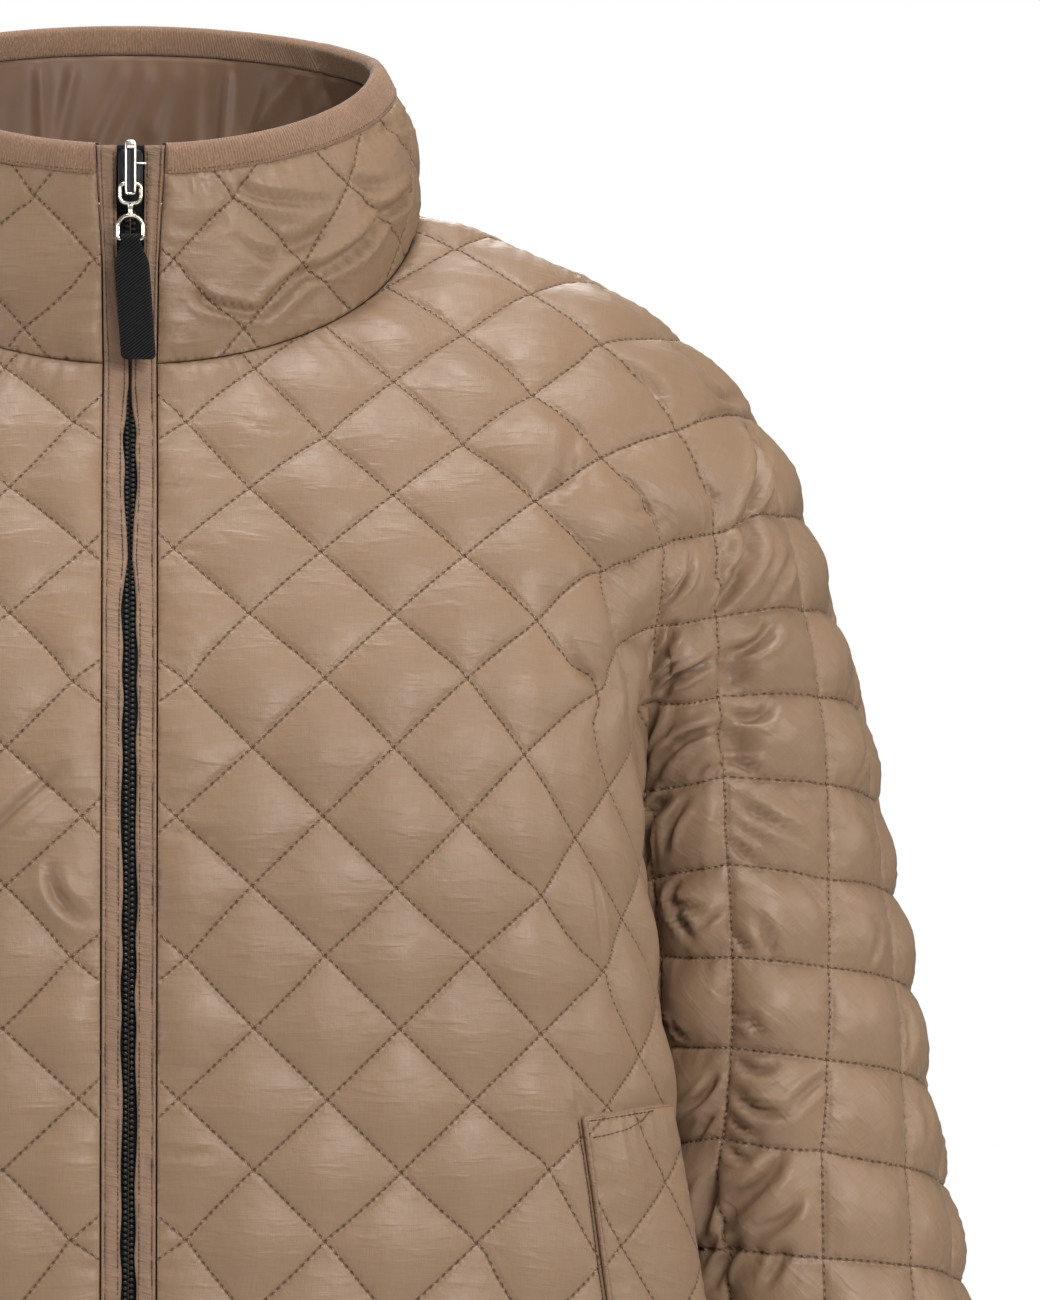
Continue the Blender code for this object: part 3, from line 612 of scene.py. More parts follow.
# %% The relief
class Relief:
    """The height of the quilting at points of the flat cloth."""

    def __init__(self, seed, firm=PILLOW_FIRM, full=PILLOW_FULL, creases=()):
        random = np.random.default_rng(seed)
        self.firm, self.full, self.creases = firm, full, creases
        size = (CELLS, CELLS)
        self.fill = random.uniform(0.84, 1.14, size)
        self.phase = random.uniform(0, 2 * math.pi, (2, 2, len(PUCKER_WAVES), *size))
        self.stretch = random.uniform(0.85, 1.2, (2, *size))
        self.strength = random.uniform(0.45, 1.25, (2, 2, *size))
        self.wave_seed = seed + 1

    def height(self, uv, slack, seam, run):
        """slack is 0 on the firm body, 1 on the sleeve. seam is the distance to the panel's
        edge, and run the distance along that edge."""
        cell = np.floor(uv).astype(int) % CELLS
        inside = uv - np.floor(uv)
        rise = np.sin(np.pi * inside)
        pillow = (rise[:, 0] * rise[:, 1]) ** PILLOW_EDGE
        lean = (LEAN_FIRM * (1 - slack) * (inside[:, 0] - inside[:, 1])
                + LEAN_FULL * slack * (inside[:, 0] - 0.5))
        size = (self.firm + (self.full - self.firm) * slack) * self.fill[cell[:, 0], cell[:, 1]]
        total = size * pillow * (1 + lean)
        pucker = PUCKER_FIRM + (PUCKER_FULL - PUCKER_FIRM) * slack
        for axis in (0, 1):
            off = (uv[:, axis] - np.round(uv[:, axis])) * SQUARE
            line = np.round(uv[:, axis]).astype(int) % CELLS
            side = (off > 0).astype(int)
            other = cell[:, 1 - axis]
            at = (line, other) if axis == 0 else (other, line)
            along = uv[:, 1 - axis] * SQUARE * self.stretch[axis][at]
            wave = sum(np.sin(2 * math.pi * along / length + self.phase[axis, side, k, at[0], at[1]])
                       for k, length in enumerate(PUCKER_WAVES)) / 2
            fade = np.exp(-np.abs(off) / PUCKER_REACH) * rise[:, 1 - axis] ** 0.4
            total += pucker * self.strength[axis, side, at[0], at[1]] * wave * fade
            total -= GROOVE_DEPTH * np.exp(-(off / GROOVE_HALF) ** 2)
        waves = np.random.default_rng(self.wave_seed)
        total += (0.5 + 0.6 * slack) * MM * soft_noise(waves, uv, LONG_WAVES)
        total += (0.12 + 0.35 * slack) * MM * soft_noise(waves, uv, FINE_WAVES) * pillow
        total *= 1 - np.exp(-seam / SEAM_REACH)
        for length, size in SEAM_RIPPLES:
            phase = 1.5 * np.sin(2 * math.pi * run / (length * 7.3))
            fade = np.exp(-seam / SEAM_RIPPLE_REACH) * (1 - np.exp(-seam / (1.2 * MM)))
            total += size * np.sin(2 * math.pi * run / length + phase) * fade
        for crease in self.creases:
            total += crease.height(uv) * (1 - np.exp(-seam / SEAM_REACH))
        return np.maximum(total, LOWEST)


# %% A crease
class Crease:
    """A soft trough, between low ridges, along a bent line on the flat cloth."""

    def __init__(self, line, width, depth, bank=0.45):
        start, middle, end = np.array(line, float)
        t = np.linspace(0, 1, 9)[:, None]
        bend = 2 * middle - (start + end) / 2
        self.line = (1 - t) ** 2 * start + 2 * t * (1 - t) * bend + t**2 * end
        self.width, self.depth, self.bank = width, depth, bank

    def height(self, uv):
        """Its part of the height. The deep middle is sharp, and the ends run out."""
        out = np.zeros(len(uv))
        margin = 4 * self.width / SQUARE
        near = ((uv > self.line.min(0) - margin) & (uv < self.line.max(0) + margin)).all(1)
        if not near.any():
            return out
        points = uv[near]
        best = np.full(len(points), np.inf)
        share = np.zeros(len(points))
        for k, (a, b) in enumerate(zip(self.line, self.line[1:])):
            t = np.clip((points - a) @ (b - a) / ((b - a) @ (b - a)), 0, 1)
            distance = np.linalg.norm(points - a - t[:, None] * (b - a), axis=1)
            closer = distance < best
            best = np.where(closer, distance, best)
            share = np.where(closer, (k + t) / (len(self.line) - 1), share)
        d = best * SQUARE / self.width
        size = self.depth * np.sin(np.pi * np.clip(share, 0.02, 0.98)) ** 0.6
        out[near] = size * (self.bank * np.exp(-((d - 1.9) / 0.9) ** 2) - np.exp(-d * d))
        return out


# %% [markdown]
# ## The mesh of a panel
# A panel is a closed wall: an outer face with the quilting's relief, an inner face, and the rim
# that joins them. Both faces are cut out of a lattice of points that follows the squares and is
# closer beside the stitches. A constrained triangulation joins that lattice to the panel's edge,
# so the rows of stitches lie on edges of the mesh wherever the panel was cut across them.

# %% From the flat cut to a worn panel
SEAM_HALF = 0.2 * MM             # each panel's edge stays this far from the seam line
QUILT_WALL = 3 * MM
EDGE_STEP = 2 * MM
LATTICE_CLEAR = 0.7 * MM
STITCHES_A_SQUARE, STITCH_SLANT = 13, math.radians(-20)
ROLL = 0.9 * MM                  # how round a hem's or cuff's edge is
INNER_PILLOW = 0.45              # share of the pillow that shows inside


def graded(count):
    """Steps through one square, closer beside the stitches."""
    t = np.arange(count) / count
    return 0.62 * t + 0.38 * (0.5 - 0.5 * np.cos(np.pi * t))


def lattice(edge, count):
    """Points of all squares round the edge."""
    axes = []
    for low, high in zip(edge.min(0), edge.max(0)):
        squares = np.arange(math.floor(low), math.ceil(high))
        axes.append((squares[:, None] + graded(count)).ravel())
    return np.stack(np.meshgrid(*axes, indexing="ij"), axis=-1).reshape(-1, 2)


def within(points, outline):
    """Which points lie inside an outline."""
    inside = np.zeros(len(points), bool)
    x, y = points.T
    for (x0, y0), (x1, y1) in zip(outline, np.roll(outline, -1, 0)):
        if y0 != y1:
            inside ^= ((y0 > y) != (y1 > y)) & (x < x0 + (y - y0) * (x1 - x0) / (y1 - y0))
    return inside


def edge_rows(net, runs, centre=None):
    """The edge as rows of u, v, place, along, part, side, free. A run is a line of the net's
    points, and whether that edge hangs free. With a centre, which is u + v on the line that
    the panel is cut on the fold of, the other half follows."""
    rows = []
    for run, free in runs:
        for i, j in zip(run, run[1:]):
            pieces = max(1, round(np.linalg.norm(net.points[i] - net.points[j]) / EDGE_STEP))
            for t in np.arange(pieces) / pieces:
                u, v = net.flat[i] * (1 - t) + net.flat[j] * t
                place = net.place[i] * (1 - t) + net.place[j] * t
                along = net.along[i] * (1 - t) + net.along[j] * t
                rows.append((u, v, place, along, max(net.part[i], net.part[j]), 1, free))
    if centre is not None:
        last = runs[-1][0][-1]
        end = (*net.flat[last], net.place[last], net.along[last], net.part[last], 1, runs[-1][1])
        other = np.array(rows)[:0:-1].copy()
        other[:, :2] = centre - other[:, 1::-1]
        other[:, 5] = -1
        rows = np.vstack([rows, [end], other])
    return np.array(rows)


def whole_edge(net, cut_on_fold):
    """The edge of a front, or of the back, which is cut on the fold of the centre line."""
    up, body, sleeve = net.upper, net.body, net.sleeve
    runs = [(up[0], False), (up[:, -1], False), (sleeve[:, -1], False),
            (sleeve[-1, ::-1], True), (sleeve[::-1, 0], False), (body[:, -1], False),
            (body[-1, ::-1], True)]
    if cut_on_fold:
        return edge_rows(net, runs, 0.0)
    return edge_rows(net, runs + [(body[::-1, 0], False), (up[::-1, 0], False)])


# %% A cut
class Cut:
    """A panel's flat cut: its edge, and where each of its points is worn. Shift moves the
    squares on a small piece that is cut from cloth over the middle of a net."""

    def __init__(self, net, rows, centre=None, shift=None):
        self.net, self.centre, self.small = net, centre, shift is not None
        self.shift = np.zeros(2) if shift is None else shift
        u, v = rows[:, 0], rows[:, 1]
        if (u * np.roll(v, -1) - v * np.roll(u, -1)).sum() < 0:
            rows = rows[::-1]
        self.edge = rows[:, :2] + self.shift
        self.place, self.along = rows[:, 2], rows[:, 3]
        self.part, self.side, self.free = rows[:, 4].astype(int), rows[:, 5], rows[:, 6] > 0
        steps = np.linalg.norm(self.edge - np.roll(self.edge, 1, 0), axis=1) * SQUARE
        self.run = np.cumsum(steps)
        self.ahead = unit(np.roll(self.edge, -1, 0) - np.roll(self.edge, 1, 0))
        self.tree = KDTree(len(self.edge))
        for i, (x, y) in enumerate(self.edge):
            self.tree.insert((x, y, 0.0), i)
        self.tree.balance()

    def flat_size(self):
        """Width and length of the cloth it is cut from, and its own area, in metres."""
        u, v = self.edge.T * SQUARE
        across, down = (u + v) * math.sqrt(0.5), (u - v) * math.sqrt(0.5)
        area = abs((u * np.roll(v, -1) - v * np.roll(u, -1)).sum()) / 2
        return (float(np.ptp(across)), float(np.ptp(down))), float(area)

    def seam(self, uv):
        """Distance to the edge, and along it, in metres."""
        found = [self.tree.find((x, y, 0.0)) for x, y in uv]
        index = np.array([hit[1] for hit in found])
        off = uv - self.edge[index]
        along = (off * self.ahead[index]).sum(1)
        across = np.sqrt(np.maximum((off * off).sum(1) - along**2, 0))
        distance = np.where(np.abs(along) < 1.5 * EDGE_STEP / SQUARE, across,
                            np.array([hit[2] for hit in found]))
        return distance * SQUARE, self.run[index] + along * SQUARE

    def worn(self, uv):
        """place, along, part and side of points of the cut, and which are on it."""
        side = np.ones(len(uv))
        uv = uv - self.shift
        if self.centre is not None:
            side[uv.sum(1) < self.centre] = -1
            uv = np.where(side[:, None] < 0, self.centre - uv[:, ::-1], uv)
            uv = uv + np.maximum(self.centre + 1e-4 - uv.sum(1), 0)[:, None]
        place, along, part, inside = self.net.locate(uv)
        return place, along, part, side, inside

    def holds(self, uv):
        """Which points are on the cut."""
        return within(uv, self.edge) if self.small else self.worn(uv)[4]

    def space(self, place, along, part, side):
        """Points and outward directions on the worn form."""
        turn = np.stack([side, np.ones_like(side), np.ones_like(side)], axis=1)
        points, way_out = self.net.space(place, along, part)
        return points * turn, way_out * turn


def slack_of(place, along):
    """0 on the firm body, 1 on the sleeve and in the fold between them."""
    return smooth_step(3.9, 6.2, along) * smooth_step(6.5, 10.5, place)


# %% A panel
class Panel:
    """A quilted panel: its mesh, and the rows of stitches on it."""

    def __init__(self, name, cut, relief, squares, mirror=False, ease=None,
                 face=0.0, wall=QUILT_WALL, inner_pillow=INNER_PILLOW):
        self.name, self.cut, self.relief, self.mirror = name, cut, relief, mirror
        self.ease, self.face = ease, face
        outer_uv, outer_faces = self.triangles(squares)
        inner_uv, inner_faces = self.triangles(max(6, squares // 3))
        count = len(cut.edge)
        edge, way_out = cut.space(cut.place, cut.along, cut.part, cut.side)
        ahead = np.roll(edge, -1, 0) - np.roll(edge, 1, 0)
        inward = unit(np.cross(way_out, ahead) * (-1 if cut.net.turned else 1))
        edge = edge + inward * SEAM_HALF + way_out * face
        roll = np.where(cut.free, ROLL, 0)[:, None]
        verts = np.vstack([edge - way_out * roll,
                           self.points(outer_uv[count:], 1, face),
                           edge - way_out * wall / 2 - inward * roll,
                           edge - way_out * (wall - roll),
                           self.points(inner_uv[count:], -inner_pillow, face - wall)])
        first_middle, first_inner = len(outer_uv), len(outer_uv) + count
        around = np.arange(count)
        after = np.roll(around, -1)
        rims = []
        for low, high in ((0, first_middle), (first_middle, first_inner)):
            rims += [np.stack([after + low, around + low, around + high], 1),
                     np.stack([after + low, around + high, after + high], 1)]
        faces = np.vstack([outer_faces, inner_faces[:, ::-1] + first_inner] + rims)
        if cut.net.turned != mirror:
            faces = faces[:, ::-1]
        if mirror:
            verts = verts * (-1, 1, 1)
        self.object = cloth_object(name, verts, faces, np.vstack([outer_uv, cut.edge, inner_uv]))
        print(f"{name}: {len(faces)} triangles")

    def triangles(self, squares):
        """The cut, with its edge's points first, as triangles."""
        cut = self.cut
        points = lattice(cut.edge, squares)
        points = points[cut.holds(points)]
        distance = np.array([cut.tree.find((x, y, 0.0))[2] for x, y in points])
        points = points[distance * SQUARE > LATTICE_CLEAR]
        points = np.vstack([cut.edge, points])
        outline = list(range(len(cut.edge)))
        made = delaunay_2d_cdt([Vector(p) for p in points.tolist()], [], [outline], 1, 1e-7, True)
        order = np.array([origin[0] for origin in made[3]])
        if len(order) != len(points):
            raise SystemExit(f"{self.name}: {len(points) - len(order)} points were merged")
        faces = order[np.array(made[2])]
        # A triangle with all its corners on the edge is outside if it runs the other way round.
        count = len(cut.edge)
        on_edge = (faces < count).all(1)
        second, third = (faces[:, 1] - faces[:, 0]) % count, (faces[:, 2] - faces[:, 0]) % count
        return points, faces[~on_edge | (second < third)]

    def points(self, uv, share, base):
        place, along, part, side, _ = self.cut.worn(uv)
        points, way_out = self.cut.space(place, along, part, side)
        seam, run = self.cut.seam(uv)
        height = self.relief.height(uv, slack_of(place, along), seam, run)
        if self.ease is not None:
            height = height * self.ease(place, along)
        return points + way_out * (base + share * height)[:, None]

    def stitches(self):
        """Middles, directions along the row and directions out, for every stitch."""
        spots, ways = [], []
        low, high = np.floor(self.cut.edge.min(0)), np.ceil(self.cut.edge.max(0))
        for axis in (0, 1):
            other = 1 - axis
            reach = (np.arange(low[other], high[other], 1 / STITCHES_A_SQUARE)
                     + 0.5 / STITCHES_A_SQUARE)
            for line in np.arange(low[axis], high[axis] + 1):
                row = np.zeros((len(reach), 2))
                row[:, axis], row[:, other] = line, reach
                spots.append(row)
                way = np.zeros_like(row)
                way[:, other] = 0.02
                ways.append(way)
        uv, way = np.vstack(spots), np.vstack(ways)
        keep = self.cut.holds(uv + way) & self.cut.holds(uv - way) & self.cut.holds(uv)
        uv, way = uv[keep], way[keep]
        keep = self.cut.seam(uv)[0] > 1.2 * MM
        uv, way = uv[keep], way[keep]
        middle = self.points(uv, 1, self.face)
        ahead = self.points(uv + way, 1, 0) - self.points(uv - way, 1, 0)
        place, along, part, side, _ = self.cut.worn(uv)
        way_out = self.cut.space(place, along, part, side)[1]
        if self.mirror:
            middle, ahead, way_out = (a * (-1, 1, 1) for a in (middle, ahead, way_out))
        ahead = unit(ahead)
        # Each stitch lies a little across its row, as the strands of a cord do.
        ahead = ahead * math.cos(STITCH_SLANT) + np.cross(way_out, ahead) * math.sin(STITCH_SLANT)
        return middle, ahead, way_out


def cloth_object(name, verts, faces, uv):
    """A smooth mesh object, with the flat cloth's u and v as its UV map."""
    mesh = bpy.data.meshes.new(name)
    mesh.from_pydata(verts.tolist(), [], faces.tolist())
    corners = np.empty(len(mesh.loops), dtype=np.int32)
    mesh.loops.foreach_get("vertex_index", corners)
    mesh.uv_layers.new(name="quilt").data.foreach_set("uv", uv[corners].ravel())
    mesh.shade_smooth()
    return add_object(name, mesh)


def triangle_count(obj):
    obj.data.calc_loop_triangles()
    return len(obj.data.loop_triangles)


# %% [markdown]
# ## The net of the collar
# The stand is one strip, cut on the fold of the centre back and sewn to the neck. Its net runs
# from centre back round the side to centre front. It is laid flat twice: first hung on the
# crossings that the photograph shows, and then with its centre-back line made straight.

# %% A net for the collar
# Counted in half diagonals towards centre front and down: column, row, x, y in the picture.
COLLAR_CROSSINGS = (
    (2, 0, 233, 201), (0, 0, 348, 186), (3, 1, 177, 257), (1, 1, 298, 266), (2, 2, 246, 324),
)
COLLAR_ROWS, COLLAR_STEPS = 11, 3


class CollarNet(Net):
    """The stand collar of the left half. Its parts are the front and the back quarter."""

    def __init__(self):
        self.turned = True
        rows = np.linspace(BAND, NECK, COLLAR_ROWS)
        quarter = np.arange(0, OVERARM + 1e-9, 1 / COLLAR_STEPS)
        around = np.concatenate([quarter, 2 * OVERARM - quarter[-2::-1]])
        self.grid = np.arange(len(rows) * len(around)).reshape(len(rows), -1)
        place, along = np.meshgrid(rows, around, indexing="ij")
        self.place, self.around = place.ravel(), along.ravel()
        self.along, self.part = self.around, np.zeros(len(self.place), int)
        self.faces = grid_faces(self.grid)
        self.face_part = np.zeros(len(self.faces), int)
        self.points = self.space(self.place, self.along, self.part)[0]
        self.tree = BVHTree.FromPolygons(self.points.tolist(), self.faces.tolist())

    def space(self, place, along, part):
        """Here along runs on from centre back, 0, over the side, 10, to centre front, 20."""
        in_front = along > OVERARM
        quarter = np.where(in_front, 2 * OVERARM - along, along)
        return [np.where(in_front[:, None], make(place, quarter, False, collar=True),
                         make(place, quarter, True, collar=True)) for make in (surface, outward)]

    def first_guess(self):
        steps = np.linalg.norm(np.diff(self.points[self.grid], axis=1), axis=2)
        right = np.hstack([np.zeros((COLLAR_ROWS, 1)), np.cumsum(steps, 1)])
        down = run_along(self.points[self.grid[:, 0]])[:, None] + 0 * right
        return in_squares(right.ravel(), -down.ravel())


# %% Lay the collar flat
COLLAR_PIN_WEIGHT = 8.0
collar_net = CollarNet()
numbers, weights = collar_net.seen_at([row[2:] for row in COLLAR_CROSSINGS])
guess = collar_net.first_guess()
found = blended(guess, numbers, weights)
columns, rows = np.array(COLLAR_CROSSINGS)[:, :2].T
columns = columns + 2 * round((found.sum(1) - columns).mean() / 2)
level = np.stack([columns + rows, columns - rows], axis=1) / 2
print("collar crossings move by", (level - found).round(2).tolist())
collar_net.lay_flat((numbers, weights), level, COLLAR_PIN_WEIGHT)
centre_back = collar_net.grid[:, 0]
COLLAR_CENTRE = float(collar_net.flat[centre_back].sum(1).mean())
lines = collar_net.flat[centre_back]
straight = lines + (COLLAR_CENTRE - lines.sum(1))[:, None] / 2
numbers = list(numbers) + [np.array([i, i, i]) for i in centre_back]
weights = list(weights) + [np.array([1.0, 0.0, 0.0])] * len(centre_back)
stretch = collar_net.lay_flat((numbers, weights), np.vstack([level, straight]),
                              COLLAR_PIN_WEIGHT)
print("collar net: stretch", np.percentile(stretch, (1, 50, 99)).round(2), "centre", COLLAR_CENTRE)

# %% [markdown]
# ## The quilted panels
# Now the panels are cut: two fronts, each in one with its half of a sleeve, the back on the
# fold of its centre line with both back halves, the collar, and a welt for each pocket. The
# right front is the left one's mirror image with its own folds. Creases are laid where the
# photograph shows them. The sides that it hides get others of the same kind.

# %% Creases of the left front
# Pixels of the picture, x and y of start, middle and end, then width and depth in mm.
SEEN_CREASES = (
    (746, 435, 749, 480, 743, 522, 2.6, 3.2), (743, 522, 741, 560, 714, 610, 2.6, 3.4),
    (779, 558, 771, 583, 765, 607, 2.2, 1.6), (688, 553, 677, 583, 661, 604, 2.0, 2.0),
    (716, 569, 726, 570, 735, 566, 1.5, 1.2), (702, 489, 712, 500, 719, 511, 1.6, 1.0),
    (673, 622, 662, 650, 635, 687, 2.2, 3.2), (710, 657, 677, 675, 662, 697, 2.2, 3.0),
    (764, 620, 752, 644, 724, 653, 2.4, 2.6), (722, 660, 728, 675, 735, 692, 4.0, 2.4),
    (656, 702, 648, 732, 636, 764, 2.4, 3.0), (716, 733, 686, 740, 657, 778, 2.4, 3.0),
    (688, 742, 683, 750, 679, 757, 1.6, 1.6), (700, 776, 702, 768, 708, 762, 1.3, 1.2),
    (712, 776, 716, 768, 722, 764, 1.3, 1.2), (762, 704, 752, 720, 728, 710, 2.4, 2.6),
    (724, 722, 728, 742, 740, 762, 4.0, 2.4), (724, 763, 742, 765, 755, 778, 2.0, 2.4),
    (668, 800, 652, 824, 645, 872, 2.8, 3.8), (690, 800, 676, 825, 672, 850, 2.2, 2.2),
    (740, 799, 765, 822, 800, 844, 2.2, 1.8), (788, 796, 798, 806, 808, 815, 1.6, 1.0),
    (728, 837, 736, 850, 745, 861, 1.5, 1.6), (734, 842, 746, 855, 757, 865, 1.5, 1.4),
    (680, 884, 677, 900, 704, 909, 2.0, 2.8), (670, 907, 686, 917, 697, 940, 2.0, 2.8),
    (704, 926, 712, 918, 722, 914, 1.6, 1.6), (756, 919, 765, 938, 770, 955, 2.0, 2.0),
    (729, 926, 738, 940, 748, 952, 1.5, 1.6), (797, 878, 812, 896, 823, 917, 1.5, 1.0),
    (658, 1005, 668, 1018, 675, 1036, 1.8, 2.4), (677, 1022, 684, 1030, 690, 1038, 1.5, 1.6),
    (748, 1014, 756, 1026, 765, 1036, 1.8, 1.8), (735, 1010, 742, 1018, 752, 1022, 1.5, 1.2),
    (716, 1074, 708, 1095, 690, 1108, 2.2, 2.6), (700, 1135, 708, 1125, 716, 1112, 1.6, 1.6),
    (736, 1060, 756, 1072, 776, 1066, 2.2, 1.8), (738, 1094, 758, 1108, 786, 1115, 2.2, 2.6),
    (790, 1112, 808, 1090, 828, 1076, 2.2, 1.4), (734, 1118, 744, 1127, 756, 1136, 1.5, 1.6),
    (780, 1156, 762, 1186, 728, 1219, 2.6, 3.4), (798, 1200, 786, 1218, 762, 1228, 2.0, 2.4),
    (727, 1145, 740, 1156, 752, 1160, 1.8, 1.4), (719, 1180, 712, 1205, 706, 1232, 2.4, 2.6),
    (741, 1239, 729, 1256, 718, 1284, 2.2, 2.4), (785, 1246, 778, 1266, 771, 1284, 2.0, 2.0),
    (836, 668, 841, 682, 844, 697, 1.5, 1.0), (845, 712, 853, 747, 850, 783, 1.6, 1.0),
    (848, 809, 860, 838, 866, 865, 1.6, 1.0), (856, 910, 868, 938, 864, 968, 1.6, 1.0),
    (895, 1000, 901, 1030, 903, 1060, 1.6, 0.9), (910, 1100, 915, 1120, 918, 1142, 1.6, 0.9),
    (739, 634, 735, 660, 739, 686, 6.0, 1.6), (744, 714, 740, 738, 744, 762, 6.0, 1.6),
    (748, 800, 744, 826, 748, 848, 6.0, 1.4),
    (700, 385, 716, 398, 738, 405, 2.4, 1.2), (760, 450, 766, 490, 764, 512, 2.0, 1.3),
    (620, 365, 650, 385, 664, 405, 2.4, 0.9), (615, 500, 632, 512, 652, 506, 2.2, 1.0),
    (575, 430, 566, 470, 548, 500, 2.8, 0.8), (570, 640, 584, 672, 600, 684, 2.4, 0.9),
    (575, 1086, 578, 1102, 586, 1118, 1.6, 0.9), (590, 880, 594, 915, 600, 950, 2.2, 0.8),
    (168, 486, 176, 489, 206, 486, 1.6, 0.5), (168, 552, 180, 549, 214, 554, 1.6, 0.5),
    (168, 626, 184, 622, 220, 628, 1.8, 0.5), (168, 770, 180, 774, 208, 769, 1.6, 0.5),
    (168, 838, 186, 834, 226, 840, 1.8, 0.5), (168, 1070, 184, 1066, 216, 1071, 1.8, 0.5),
    (168, 1150, 182, 1155, 214, 1151, 1.8, 0.5), (240, 420, 262, 432, 290, 430, 2.0, 0.4),
)


# %% Creases, seen and unseen
def creases_at(net, rows, deepen):
    """Creases of a net's flat cloth, from where they are seen in the picture."""
    rows = np.array(rows)
    lines = blended(net.flat, *net.seen_at(rows[:, :6].reshape(-1, 2))).reshape(-1, 3, 2)
    return [Crease(line, row[6] * MM, row[7] * deepen * MM) for line, row in zip(lines, rows)]


CREASES_APART = 0.62             # squares between the middles of two creases
HIDDEN_WIDTH, HIDDEN_DEPTH = (1.9, 2.9), (1.8, 4.2)      # least and most, in mm


def more_creases(net, seed, count, columns, rows, side=1):
    """Creases of the same kind where the photograph doesn't look, within columns and rows."""
    random = np.random.default_rng(seed)
    fits = ((net.along >= columns[0]) & (net.along <= columns[1])
            & (net.place >= rows[0]) & (net.place <= rows[1]))
    spots = []
    for spot in net.flat[random.permutation(np.flatnonzero(fits))]:
        if len(spots) < count and all(math.dist(spot, other) > CREASES_APART for other in spots):
            spots.append(spot)
    made = []
    for spot in spots:
        way = random.uniform(-0.5, 0.5) + (0 if random.random() < 0.6 else math.pi / 2)
        reach = random.uniform(0.28, 0.6) * np.array((math.cos(way), math.sin(way)))
        bend = random.uniform(-0.12, 0.12) * np.array((-math.sin(way), math.cos(way)))
        line = np.array((spot - reach, spot + bend, spot + reach))
        if side < 0:
            line = -line[:, ::-1]
        made.append(Crease(line, random.uniform(*HIDDEN_WIDTH) * MM,
                           random.uniform(*HIDDEN_DEPTH) * MM))
    return made


FRONT_DEEPEN, COLLAR_DEEPEN = 2.0, 2.3   # the depths that show are this much more than listed
front_creases = creases_at(front_net, SEEN_CREASES, FRONT_DEEPEN)
print(len(front_creases), "creases on the left front")

# %% [markdown]
# ## Where the welts lie
# A welt is a narrow folded band, sewn over the slit of the pocket. Its top corners are read from
# the picture. Under it the front's pillows are pressed nearly flat, so that the two don't cut
# through each other.

# %% The welt's place, and how the front lies flat under it
WELT_TOP = ((582, 1120), (665, 1108))       # its top corners in the picture
WELT_FOOT, WELT_COLUMNS = 19.0, (3.0, 4.2)  # ring and columns at its lower corners
WELT_FACE, WELT_WALL = 2.8 * MM, 2.5 * MM
UNDER_WELT = 0.05                # share of the relief that is left under it

corners = front_net.seen_at(WELT_TOP)
(TOP_1, TOP_2), (SIDE_1, SIDE_2) = [blended(values, *corners).tolist()
                                    for values in (front_net.place, front_net.along)]
WELT_CORNERS = np.array(((TOP_1, SIDE_1), (TOP_2, SIDE_2), (WELT_FOOT, WELT_COLUMNS[1]),
                         (WELT_FOOT, WELT_COLUMNS[0])))
print("welt corners", WELT_CORNERS.round(2).tolist())


def under_welt(place, along):
    share = np.clip((along - SIDE_1) / (SIDE_2 - SIDE_1), 0, 1)
    top = TOP_1 + (TOP_2 - TOP_1) * share
    drop = np.clip((place - TOP_1) / (WELT_FOOT - TOP_1), 0, 1)
    near = SIDE_1 + (WELT_COLUMNS[0] - SIDE_1) * drop
    far = SIDE_2 + (WELT_COLUMNS[1] - SIDE_2) * drop
    down = (smooth_step(-0.3, 0, place - top)
            * (1 - smooth_step(WELT_FOOT, WELT_FOOT + 0.3, place)))
    across = smooth_step(-0.25, 0, along - near) * (1 - smooth_step(0, 0.25, along - far))
    return 1 - (1 - UNDER_WELT) * down * across


def body_flat(net, line):
    """u and v on the body's flat cloth of rows of place and along."""
    grid = net.body
    places, alongs = net.place[grid[:, 0]], net.along[grid[0]]
    row = np.clip(np.searchsorted(places, line[:, 0]) - 1, 0, len(places) - 2)
    column = np.clip(np.searchsorted(alongs, line[:, 1]) - 1, 0, len(alongs) - 2)
    a = ((line[:, 0] - places[row]) / (places[row + 1] - places[row]))[:, None]
    b = ((line[:, 1] - alongs[column]) / (alongs[column + 1] - alongs[column]))[:, None]
    return ((1 - a) * ((1 - b) * net.flat[grid[row, column]] + b * net.flat[grid[row, column + 1]])
            + a * ((1 - b) * net.flat[grid[row + 1, column]]
                   + b * net.flat[grid[row + 1, column + 1]]))


def window_edge(net, corners):
    """The edge of a piece cut over part of the body, in rows as edge_rows makes them."""
    made = []
    for start, end in zip(corners, np.roll(corners, -1, 0)):
        t = (np.arange(120) / 120)[:, None]
        line = start * (1 - t) + end * t
        points = net.space(line[:, 0], line[:, 1], np.ones(120, int))[0]
        run = run_along(points)
        keep = np.interp(np.arange(0, run[-1], EDGE_STEP), run, t[:, 0])[:, None]
        line = start * (1 - keep) + end * keep
        made += [(*uv, *at, 1, 1, 0) for uv, at in zip(body_flat(net, line), line)]
    return np.array(made)


# %% [markdown]
# ## Cutting and quilting
# Each panel now gets its own relief and seed, and as many steps in a square as its size in the
# picture asks for. The welt is cut from the front's own cloth, moved so that its rows of
# stitches cross where the picture shows it.

